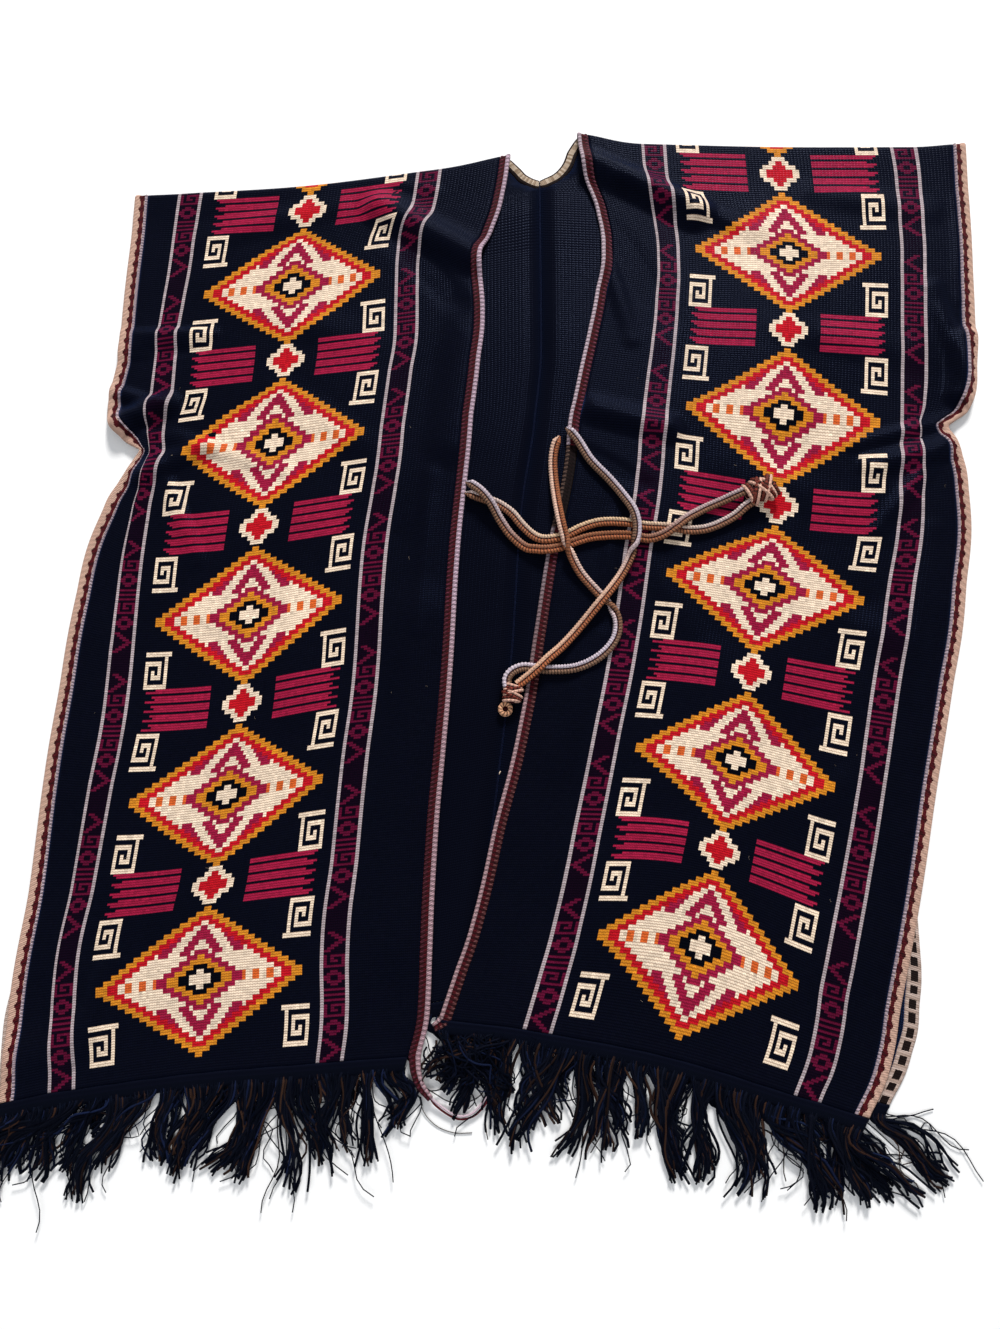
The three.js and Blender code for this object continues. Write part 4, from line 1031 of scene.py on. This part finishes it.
def even_columns(part, layer, downs, end):
    """Places of the stitches across rows, evenly apart between the stripes and on each side of them."""
    start = band_share(part, downs)
    columns = np.linspace(0, 1, COLUMNS + 1)
    places = start[:, None] + (end - start[:, None]) * columns
    dense = np.linspace(0, 1, DENSE)[None]
    stretches = ((start, OUTER_STRIPE), (OUTER_STRIPE, INNER_STRIPE), (INNER_STRIPE, end))
    for low, high in stretches:
        low = low + 0 * start
        between = low[:, None] + (high - low[:, None]) * dense
        along = run_along(plan(part, layer, downs, between))
        for i in range(len(downs)):
            mine = (places[i] > low[i]) & (places[i] < high)
            share = (places[i][mine] - low[i]) / (high - low[i])
            places[i][mine] = np.interp(share * along[i, -1], along[i], between[i])
    return places


def make_panel(name, part):
    def across(downs):
        return even_columns(part, "front", downs, BRAID_START - GAP_SHARE)

    def back(shares):
        return plan(part, "back", shares, even_columns(part, "back", shares, 1.0))

    points, normals = folded(part, CLOTH, across, back, FRONT_ROWS, BACK_ROWS, JOINED_AT)
    shape = Shape()
    wall(shape, points, normals, CLOTH, panel_chart(len(points) - 1))
    return shape.build(name + "_knit", KNIT, [name + "_panel"])


# Bands and braids are strips with ridges along them. Places across them run from 0 to 1.
DIAMOND_PITCH = 11.2
DIAMOND_MIDDLE = 0.6
DIAMOND_RED = np.array([62, 9, 17])
WEAVE_PITCH = 2.05
BEAD_PITCH = 2.8
ROLL_END = 0.44
BEADS_START = 0.79
BRAID_BEAD = 3.9
INNER_RIDGE_END = 0.32
TONE_CHANGE = (330.0, 420.0)
DULL_STRETCH = 150.0
DULL = 0.74
BRAID_DARK = np.array(DARK_RED) * 0.42
SHADED_TONES = ((22, 13, 15), (112, 90, 78))
WRONG_BAND_TONES = ((164, 142, 130), (196, 176, 166))
WRONG_BRAID_TONES = ((138, 118, 98), (190, 174, 156))
# Heights of the ridges over the strip's face.
ROLL_HEIGHT = 0.55
BEADS_HEIGHT = 0.35
BAND_GROOVE = -0.1
INNER_HEIGHT = 0.4
PALE_HEIGHT = 0.95
BRAID_GROOVE = -0.2
WRONG_RIDGE = 0.8


def ripple(turns):
    """A swell from 0 to 1 that comes back with every whole turn."""
    return 0.5 + 0.5 * np.cos(FULL_TURN * turns)


def weave_at(s, slant=0.0):
    return 0.5 + 0.5 * np.sin(FULL_TURN * s / WEAVE_PITCH + slant)


def side_band_look(u, s):
    """Relief and colour of the side band at places across (0 at the outer edge) and along."""
    phase = (s / DIAMOND_PITCH) % 1
    bead = ripple(s / BEAD_PITCH)
    beads = BEADS_HEIGHT * (1 + bead) * hump(u, BEADS_START, 1)
    relief = np.where(u > BEADS_START, beads, BAND_GROOVE)
    relief = np.where(u < ROLL_END, ROLL_HEIGHT * hump(u, 0, ROLL_END), relief)
    lobe = np.clip(1.35 - 1.7 * np.abs(2 * phase - 1), 0, 1)
    dark = (np.abs(u - DIAMOND_MIDDLE) < 0.11 + 0.12 * lobe) & (u <= BEADS_START)
    weave = weave_at(s, 9 * u)
    colour = mix(PEACH, np.array(PEACH) * 0.86, weave)
    colour = np.where(dark[..., None], mix(DIAMOND_RED * 1.25, DIAMOND_RED * 0.7, weave * lobe), colour)
    # Painted shade: the beaded edge darkens between its beads, with their relief.
    edge = mix(np.array(LILAC) * 0.56, np.array(LILAC) * 0.92, bead)
    return relief, np.where((u > BEADS_START)[..., None], edge, colour)


def side_band_wrong_side(squares, u, s):
    phase = (s / DIAMOND_PITCH) % 1
    square = (u > squares[0]) & (u < squares[1]) & (phase < 0.68)
    base = mix(*WRONG_BAND_TONES, weave_at(s))
    return np.where(square, -0.15, 0.12), np.where(square[..., None], np.array(INK), base)


def front_braid_look(tones, shaded, u, s):
    """Relief and colour of the front braid. It runs from the panel (0) to the open edge (1)."""
    pale_low, pale_high, inner_low, inner_high, border = tones
    bead = ripple(s / BRAID_BEAD + 0.45 * u)
    ply = ripple(s / BRAID_BEAD - 0.8 * u)
    inner_ridge = INNER_HEIGHT * hump(u, 0, INNER_RIDGE_END) * (0.6 + 0.4 * ply)
    swell = hump(u, border, 1.04)
    pale_ridge = PALE_HEIGHT * swell * (0.7 + 0.3 * bead)
    relief = np.where(u < INNER_RIDGE_END, inner_ridge, np.where(u > border, pale_ridge, BRAID_GROOVE))
    share = np.clip((s - TONE_CHANGE[0]) / np.ptp(TONE_CHANGE), 0, 1)
    ticks = mix(BRAID_DARK, mix(inner_low, inner_high, share), ply**2)
    middle = mix(BRAID_DARK, np.array(DARK_RED) * 0.95, ply)
    # Painted shade: the pale ridge darkens between its beads and down the sides of its swell, with its
    # relief.
    ridge = mix(pale_low, pale_high, share) * (0.56 + 0.46 * bead**0.7 * (0.6 + 0.4 * swell))[..., None]
    dull = (s > shaded[0] - DULL_STRETCH) & (s < shaded[0])
    over = ((s > shaded[0]) & (s < shaded[1]))[..., None]
    ridge = ridge * np.where(dull, DULL, 1.0)[..., None]
    pale = np.where(over, mix(*SHADED_TONES, bead**2), ridge)
    colour = np.where((u < 0.3)[..., None], ticks, np.where((u > border)[..., None], pale, middle))
    return relief, colour * np.where(over & (u < border)[..., None], 0.2, 1.0)


def front_braid_wrong_side(u, s):
    pale = mix(*WRONG_BRAID_TONES, ripple(s / BRAID_BEAD))
    ridge = ((u > 0.36) & (u < 0.84))[..., None]
    return WRONG_RIDGE * hump(u, 0.3, 0.9), np.where(ridge, pale, np.array(INK, float))


def strip(name, points, normals, looks, places, node):
    """A closed strip through spots (rows, across), whose two faces have their own relief and colours."""
    outer_look, inner_look = looks
    s = run_along(points[:, len(places) // 2])[:, None]
    relief, colour = outer_look(places[None], s)
    inner_places = places[::-2]
    inner_relief, inner_colour = inner_look(inner_places[None], s)
    half = BRAID / 2
    rounded = 1 - 0.45 * np.clip(np.abs(2 * places - 1) - 0.8, 0, 1) / 0.2
    outer = points + normals * (half * rounded + relief)[..., None]
    inner = points[:, ::-2] - normals[:, ::-2] * (half * rounded[::-2] + inner_relief * 0.5 - 0.1)[..., None]
    rings = np.concatenate([outer, inner], axis=1)
    colours = np.concatenate([colour, inner_colour], axis=1)[:-1]
    width = float(np.mean(np.linalg.norm(points[:, -1] - points[:, 0], axis=-1)))
    around = np.concatenate([places * width, 2 * width - inner_places * width, [2 * width]])
    shape = Shape()
    loft(shape, rings[None], colours[None], around)
    return shape.build(name, BAND, [node])


# Where the dark squares lie across the wrong side of each band, and the points across bands and braids.
SQUARES = {"left": (0.52, 0.92), "right": (0.3, 0.8)}
BAND_PLACES = np.linspace(0, 1, 17)
BRAID_PLACES = np.linspace(0, 1, 13)


def make_side_band(name, part):
    def across(downs):
        return np.tile(BAND_PLACES * BAND_END, (len(downs), 1))

    def back(shares):
        return plan(part, "back", shares, across(shares))

    front_count, back_count = round(PANEL_LENGTH / BAND_STEP), round(BACK_LENGTH / BAND_STEP)
    points, normals = folded(part, BRAID, across, back, front_count, back_count, JOINED_AT)
    looks = (side_band_look, functools.partial(side_band_wrong_side, SQUARES[name]))
    piece = name + "_side_band"
    return strip(piece + "_knit", points, normals, looks, BAND_PLACES, piece)


# Each braid runs on past the hem: place and width.
BRAID_TAILS = {
    "left": [((-67, -330), 8.5), ((-63, -341), 7), ((-55, -351), 5)],
    "right": [((-48.5, -294.5), 8.5), ((-53, -297), 6.5)],
}


def tail_spots(points, tail):
    """More rows of a front's braid past the hem, which narrow."""
    last = points[0].mean(axis=0)
    route = [last] + [np.array([*at, last[2]]) for at, _ in tail]
    line, along = spline(route, BRAID_STEP)
    widths = np.interp(along, np.linspace(0, along[-1], len(route)), [FRONT_BRAID] + [w for _, w in tail])
    across, _ = line_frames(line[None])
    sideways = across[0] * np.sign(np.dot(across[0, 0], points[0, -1] - points[0, 0]))
    rows = line[:, None] + (BRAID_PLACES[:, None] - 0.5) * widths[:, None, None] * sideways[:, None]
    return rows[:0:-1], np.broadcast_to(np.array([0.0, 0.0, 1.0]), rows[1:].shape)


# Each braid's pale ridge and inner ridge, low and high, where the pale one starts, and the stretch from the
# hem that lies in a tie's shade.
BRAID_LOOKS = {
    "left": (((188, 154, 164), (200, 174, 192), (84, 36, 50), (96, 40, 58), 0.56), (-1, -1)),
    "right": (((186, 152, 158), LILAC, (112, 70, 70), (112, 56, 74), 0.64), (434, 512)),
}


def make_front_braid(name, part):
    def across(downs):
        return np.tile(BRAID_START + BRAID_PLACES * (1 - BRAID_START), (len(downs), 1))

    def back(shares):
        inner = neck_points(part, shares, FRONT_BRAID)
        edge = neck_points(part, shares, 0)
        return mix(inner[:, None], edge[:, None], BRAID_PLACES)

    points, normals = folded(part, BRAID, across, back, round(PANEL_LENGTH / BRAID_STEP), NECK_ROWS, 1 / 3)
    tail, tail_normals = tail_spots(points, BRAID_TAILS[name])
    points, normals = np.concatenate([tail, points]), np.concatenate([tail_normals, normals])
    looks = (functools.partial(front_braid_look, *BRAID_LOOKS[name]), front_braid_wrong_side)
    piece = name + "_braid_edge"
    return strip(piece, points, normals, looks, BRAID_PLACES, name + "_front_braid")


# The fringes: threads, lean in degrees and length along each hem, after the part's source.
FRINGES = {
    "front_left_fringe": ("left", "front", 520, (-46, -30, -20, -8, 12), (70, 78, 82, 84, 66)),
    "front_right_fringe": ("right", "front", 500, (34, 16, 4, 2, 16), (74, 80, 86, 84, 56)),
    "back_left_fringe": ("left", "back", 320, (-42, -20, -6, 4, 10), (72, 60, 58, 56, 58)),
    "back_right_fringe": ("right", "back", 300, (44, 34, 16, 6, 6), (80, 70, 58, 56, 58)),
}
FRINGE_SEED = 100
LOCK_PITCH = 13.0
THREAD_POINTS = 13
THREAD_SIDES = 4
THREAD_RADIUS = 1.0
BACK_BIAS = 1.6
ROOT_DEPTH = 3.5
ABOVE_HEM = 0.97
HEADER_STEPS = 150
HEADER_PROFILE = [
    (0.3, 0.9), (1.0, 1.75), (2.2, 1.9), (3.4, 1.35), (5.5, 1.45), (8, 1.5), (10.4, 1.3), (12, 0.5),
    (12, -0.6), (10, -1.45), (2, -1.45), (0.3, -0.9),
]
# How much locks and threads differ. Leans are in degrees, waves and curls in millimetres, and lengths in
# shares of the fringe's. Of a pair of ranges, the first is for strays.
LOCK_JITTER = 0.25
LOCK_LEAN = 15
LOCK_LENGTHS = (0.66, 1.1)
LOCK_WAVE = (-12, 12)
LOCK_TURNS = (0.5, 1.1)
LOCK_BEND = (-0.25, 0.2)
BEND_SHARE = 0.55
GATHERED = (0.62, 1.0)
STRAY_SHARE = 0.11
LEANS = (24, 4)
LENGTHS = ((0.5, 1.25), (0.74, 1.02))
CURLS = ((3, 10), (1.0, 4.2))
CURL_TURNS = (0.7, 2.2)
THREAD_HEIGHTS = {"front": (2.4, 5.2), "back": (0.7, 2.4)}
STRAY_THICKNESS = 0.5
THICKNESSES = (0.8, 1.25)
TAPER = (1.05, 0.9)
# How threads rise and fall: their spread in the header, arch and lock's lift in millimetres, and how soon
# they are down.
ROOT_SPREAD = (-0.9, 0.9)
ARCH = (-0.6, 1.6)
LOCK_LIFT = 0.9
FALL = 1.6


def hem_frame(part, layer, across):
    """Points of a hem, the way down from it, and the height of its header's middle."""
    wanted = across[None]
    edge = plan(part, layer, np.ones(1), wanted)[0]
    above = plan(part, layer, np.full(1, ABOVE_HEM), wanted)[0]
    if layer == "front":
        height = front_points(part, np.ones(1), wanted)[0, :, 2] - 0.1
    else:
        height = np.full(len(across), HEADER_THICK / 2)
    return edge, unit(edge - above), height


def header(shape, part, layer, to):
    """The plain band that the fringe hangs from, with a rolled upper edge."""
    across = np.linspace(0, to, HEADER_STEPS)
    edge, down, height = hem_frame(part, layer, across)
    below, lift = np.array(HEADER_PROFILE).T
    xy = edge[:, None] + down[:, None] * below[:, None]
    sway = 0.25 * np.sin(across * 61)[:, None] * (lift > 0)
    rings = np.concatenate([xy, (height[:, None] + lift + sway)[..., None]], axis=-1)
    # Painted shade: past the rolled edge the navy is darkened to three quarters, which leaves the roll
    # lighter.
    colours = np.array(NAVY) * np.where(below < 4, 1.0, 0.75)[:, None]
    around = np.append(run_along(np.array(HEADER_PROFILE)), 30)
    loft(shape, rings[None], colours[None, None], around)


def gather_locks(rng, shares, hem, lean, length):
    """What each thread has from its lock: number, place, lean, length, wave, turns, phase and first bend."""
    locks = round(hem / LOCK_PITCH)
    borders = np.sort(np.linspace(0, 1, locks + 1) + rng.normal(0, LOCK_JITTER, locks + 1) / locks)
    drift = rng.normal(0, LOCK_JITTER, len(shares)) / locks
    lock = np.clip(np.searchsorted(borders, shares + drift) - 1, 0, locks - 1)
    place = np.clip((borders[:-1] + borders[1:]) / 2, 0, 1)
    spots = np.linspace(0, 1, len(lean))
    angle = np.interp(place, spots, lean) + rng.normal(0, LOCK_LEAN, locks)
    long = np.interp(place, spots, length) * rng.uniform(*LOCK_LENGTHS, locks)
    rest = [rng.uniform(*span, locks) for span in (LOCK_WAVE, LOCK_TURNS, (0, 1), LOCK_BEND)]
    return lock, *(values[lock][:, None] for values in (place, angle, long, *rest))


def pick(draw, stray, ranges):
    """A draw for each thread, of the first range for strays and of the second for the rest."""
    odd, usual = (draw(*span, stray.shape) for span in ranges)
    return np.where(stray, odd, usual)


def swing(t, turns, phase):
    """A swing along each thread, which grows from nothing at its root."""
    sway = np.sin(FULL_TURN * (t * turns + phase))
    return (sway - sway[:, :1]) * t


def thread_heights(rng, layer, height, lock, t):
    """Heights of threads, which leave their header and come down to lie on each other."""
    size = (len(height), 1)
    low, high = THREAD_HEIGHTS[layer]
    top = height[:, None] + rng.uniform(*ROOT_SPREAD, size)
    end = np.where(t > 0.5, (low + high) / 2, rng.uniform(low, high, size))
    arch = np.sin(math.pi * t) * rng.uniform(*ARCH, size)
    lift = LOCK_LIFT * np.sin(lock * 2.4)[:, None] * t
    return top + (end - top) * np.clip(t * FALL, 0, 1) + arch + lift


def thread_lines(rng, part, layer, count, lean, length, to):
    """Threads that leave the hem evenly and gather into bent, curling locks."""
    shares = np.sort((np.arange(count) + rng.uniform(0, 1, count)) / count)
    shares = to * (shares if layer == "front" else shares**BACK_BIAS)
    edge, down, height = hem_frame(part, layer, shares)
    hem = np.linalg.norm(edge[-1] - edge[0])
    lock, place, angle, long, wave, turns, phase, bent_at = gather_locks(rng, shares / to, hem, lean, length)
    stray = rng.uniform(0, 1, (count, 1)) < STRAY_SHARE
    angle = np.radians(angle + pick(rng.normal, stray, [(0, spread) for spread in LEANS]))
    long = long * pick(rng.uniform, stray, LENGTHS)
    pull = np.where(stray, 0, rng.uniform(*GATHERED, stray.shape))
    pull = pull * (hem_frame(part, layer, place[:, 0] * to)[0] - edge)
    t = np.linspace(0, 1, THREAD_POINTS)[None]
    bend = ease(np.clip((t - bent_at) / BEND_SHARE, 0, 1))[..., None]
    heading = np.stack([np.sin(angle), -np.cos(angle)], axis=-1)
    sideways = np.stack([np.cos(angle), np.sin(angle)], axis=-1)
    root = edge + down * (HEADER - ROOT_DEPTH)
    line = (down[:, None] * (1 - bend) + heading * bend) * (long * t)[..., None]
    line = root[:, None] + line + pull[:, None] * bend
    sway = wave * swing(t, turns, phase)
    curl = pick(rng.uniform, stray, CURLS)
    sway += curl * swing(t, rng.uniform(*CURL_TURNS, (count, 1)), rng.uniform(0, 1, (count, 1)))
    line = line + sideways * sway[..., None]
    z = thread_heights(rng, layer, height, lock, t)
    taper = np.linspace(*TAPER, THREAD_POINTS)[None]
    radii = THREAD_RADIUS * taper * np.where(stray, STRAY_THICKNESS, rng.uniform(*THICKNESSES, stray.shape))
    return np.concatenate([line, np.maximum(z, radii + 0.05)[..., None]], axis=-1), radii


# The navy threads, and those painted brown and blue among them as painted highlights: share, colour and range
# of brightness.
NAVY_THREAD = (9.0, 10.0, 15.0)
GLINT_THREADS = [(0.12, (46, 31, 21), (0.5, 1.3)), (0.1, (18, 24, 44), (0.6, 1.3))]


def thread_colours(rng, count):
    colours = np.array(NAVY_THREAD) * rng.uniform(0.5, 1.6, (count, 1))
    for share, colour, brightness in GLINT_THREADS:
        odd = rng.uniform(0, 1, count) < share
        colours[odd] = np.array(colour) * rng.uniform(*brightness, (odd.sum(), 1))
    return colours


# The fluffy heap beside the right front's open corner: where its threads start and end, and their heights.
TANGLE_THREADS = 90
TANGLE_HEIGHTS = (3.5, 8.5)
TANGLE_FROM = ((6, -303), (-58, -312))
TANGLE_TO = ((10, -342), (-64, -332))


def across_heap(rng, ends):
    return np.array(ends[0]) + np.subtract(ends[1], ends[0]) * rng.uniform(0, 1, (TANGLE_THREADS, 1))


def tangle(shape, rng):
    """Threads that slipped out of the corner and lie across it in loops."""
    size = (TANGLE_THREADS, 1)
    t = np.linspace(0, 1, THREAD_POINTS)[None]
    first = across_heap(rng, TANGLE_FROM)
    last = across_heap(rng, TANGLE_TO)
    line = mix(first[:, None], last[:, None], t)
    for k in range(2):
        turns = rng.uniform(0.5, 1.3, size) * t + rng.uniform(0, 1, size)
        line[..., k] += np.sin(FULL_TURN * turns) * rng.uniform(2, 9 - 3 * k, size)
    z = rng.uniform(*TANGLE_HEIGHTS, size) + 1.2 * np.sin(6 * t)
    radii = THREAD_RADIUS * rng.uniform(0.5, 0.9, size) * np.ones((1, THREAD_POINTS))
    line = np.concatenate([line, z[..., None]], axis=-1)
    tubes(shape, line, radii, THREAD_SIDES, thread_colours(rng, TANGLE_THREADS))


def make_fringe(number, name, side, layer, count, lean, length):
    rng = np.random.default_rng(FRINGE_SEED + number)
    to = BRAID_START - 2 * GAP_SHARE if name == "front_left_fringe" else 1.0
    shape = Shape()
    part = PARTS[side]
    header(shape, part, layer, to)
    lines, radii = thread_lines(rng, part, layer, count, lean, length, to)
    tubes(shape, lines, radii, THREAD_SIDES, thread_colours(rng, count))
    if name == "front_right_fringe":
        tangle(shape, rng)
    return shape.build(name + "_threads", FRINGE, [name])


# The seam's ends and height, and the size of its beads.
SEAM_ENDS = (462, -271)
SEAM_POINTS = 460
SEAM_HEIGHT = 2.35
SEAM_BEAD = (0.85, 0.12)


def centre_seam():
    """The thin ridge where the panels are sewn together down the back, on the inside."""
    y = np.linspace(*SEAM_ENDS, SEAM_POINTS)
    line = np.stack([seam_x(y), y, np.full(len(y), SEAM_HEIGHT)], axis=1)
    shape = Shape()
    beads = SEAM_BEAD[0] + SEAM_BEAD[1] * np.sin(np.arange(len(y)) * math.pi / 1.5)
    # Painted highlight: the raised seam's navy is lightened as if catching the light.
    tubes(shape, line[None], beads[None], 7, np.array(NAVY) * 1.7)
    return shape.build("centre_seam", KNIT)


# Loose threads past the braid's tail: radius, colour and points.
TAIL_THREADS = [
    (0.95, LILAC, [(-57, -347, 6), (-51, -353.5, 4), (-33, -364, 3), (-23, -362.6, 3), (-15.5, -356, 3.2),
                   (-8, -345, 4)]),
    (0.85, DARK_RED, [(-56, -349, 5), (-51, -356, 3.4), (-33, -366.4, 2.2), (-21.5, -364.4, 2.4),
                      (-13, -357, 2.6), (-6, -346, 3.4)]),
    (0.5, BLACK, [(-58, -345, 5.4), (-48, -344, 4.6), (-38, -338, 3.6), (-27, -337.5, 3.2), (-17, -345, 3.4),
                  (-12, -352, 2.6)]),
    (0.45, BLACK, [(-58, -343, 5), (-50, -348, 4), (-41, -353, 3), (-28, -354, 3), (-16, -349, 3),
                   (-10, -340, 4)]),
    (0.35, (70, 66, 64), [(-64, -350, 3), (-60, -362, 1.4), (-50, -372, 0.8), (-36, -377, 0.8),
                          (-22, -377, 0.8)]),
    (0.4, BLACK, [(-40, -346, 3), (-31, -343, 2), (-24, -346, 2), (-20, -353, 2), (-25, -359, 2)]),
]
TAIL_STEP = 1.2


def loose_threads():
    shape = Shape()
    for radius, colour, points in TAIL_THREADS:
        line, _ = spline(points, TAIL_STEP)
        tubes(shape, line[None], radius, 6, colour)
    return shape.build("loose_tail_threads", CORD)


# Lint: how many fibres lie on each front, their radius, and the one thicker bit that lies in the opening.
LINT_SEED = 7
LINT_COUNT = 16
LINT_RADIUS = 0.14
BIT_AT = (-0.5, -93.5, 2.55)
BIT_HALF = (0.9, 1.6, 0)
BIT_RADIUS = 0.5


def lint():
    """Short pale fibres that cling to the dark cloth."""
    rng = np.random.default_rng(LINT_SEED)
    shape = Shape()
    spots = [(part, rng.uniform(0.05, 0.98), rng.uniform(0.06, 0.95))
             for part in PARTS.values() for _ in range(LINT_COUNT)]
    steps = np.linspace(-1, 1, 5)[:, None]
    for part, down, across in spots:
        point, normal = front_spots(part, np.array([down]), np.array([[across]]))
        middle = point[0, 0] + normal[0, 0] * (CLOTH / 2 + 0.15)
        turn = rng.uniform(0, math.pi)
        reach = steps * rng.uniform(0.5, 1.6)
        line = middle + reach * np.array([math.cos(turn), math.sin(turn), 0])
        line = line + reach**2 * np.array([0.3, -0.3, 0])
        tubes(shape, line[None], LINT_RADIUS, 3, np.array(CREAM, float) * rng.uniform(0.4, 0.9))
    line = np.array(BIT_AT) + steps * np.array(BIT_HALF)
    tubes(shape, line[None], BIT_RADIUS, 6, CREAM)
    return shape.build("lint", BAND)


for name, part in PARTS.items():
    panel = make_panel(name, part)
    edges = [make_side_band(name, part), make_front_braid(name, part)]
fringes = {name: make_fringe(number, name, *spec) for number, (name, spec) in enumerate(FRINGES.items())}
centre_seam()
loose_threads()
lint()


# The floor's reach and grey, the world's colour and strength, and each lamp's place, size, power and colour.
FLOOR_REACH = 6.0
FLOOR_GREY = (0.94, 0.94, 0.94, 1)
WORLD_COLOUR = (0.93, 0.96, 1.0, 1)
WORLD_STRENGTH = 0.42
LAMPS = {
    "key": ((0.9, 5.2, 3.1), 1.5, 470, (1.0, 0.98, 0.95)),
    "fill": ((-0.6, -1.4, 2.6), 2.4, 20, (0.95, 0.97, 1.0)),
}


def floor_material():
    material = bpy.data.materials.new("pale_floor")
    material.use_nodes = True
    shader = material.node_tree.nodes["Principled BSDF"]
    shader.inputs["Base Color"].default_value = FLOOR_GREY
    shader.inputs["Roughness"].default_value = 0.9
    return material


def light(name, place, size, power, colour):
    data = bpy.data.lights.new(name, "AREA")
    data.shape = "DISK"
    data.size = size
    data.energy = power
    data.color = colour
    made = placed(name, data)
    made.location = place
    aim = -np.array(place) / np.linalg.norm(place)
    made.rotation_euler = (math.acos(-aim[2]), 0, math.atan2(-aim[0], aim[1]))


def studio():
    scene = bpy.context.scene
    mesh = bpy.data.meshes.new("floor")
    corners = [(x * FLOOR_REACH, y * FLOOR_REACH, 0) for x, y in ((-1, -1), (1, -1), (1, 1), (-1, 1))]
    mesh.from_pydata(corners, [], [(0, 1, 2, 3)])
    mesh.materials.append(floor_material())
    floor = placed("floor", mesh)
    world = bpy.data.worlds.new("studio")
    world.use_nodes = True
    background = world.node_tree.nodes["Background"]
    background.inputs["Color"].default_value = WORLD_COLOUR
    background.inputs["Strength"].default_value = WORLD_STRENGTH
    scene.world = world
    for name, spec in LAMPS.items():
        light(name, *spec)
    scene.view_settings.view_transform = "Standard"
    scene.view_settings.exposure = 0.0


studio()
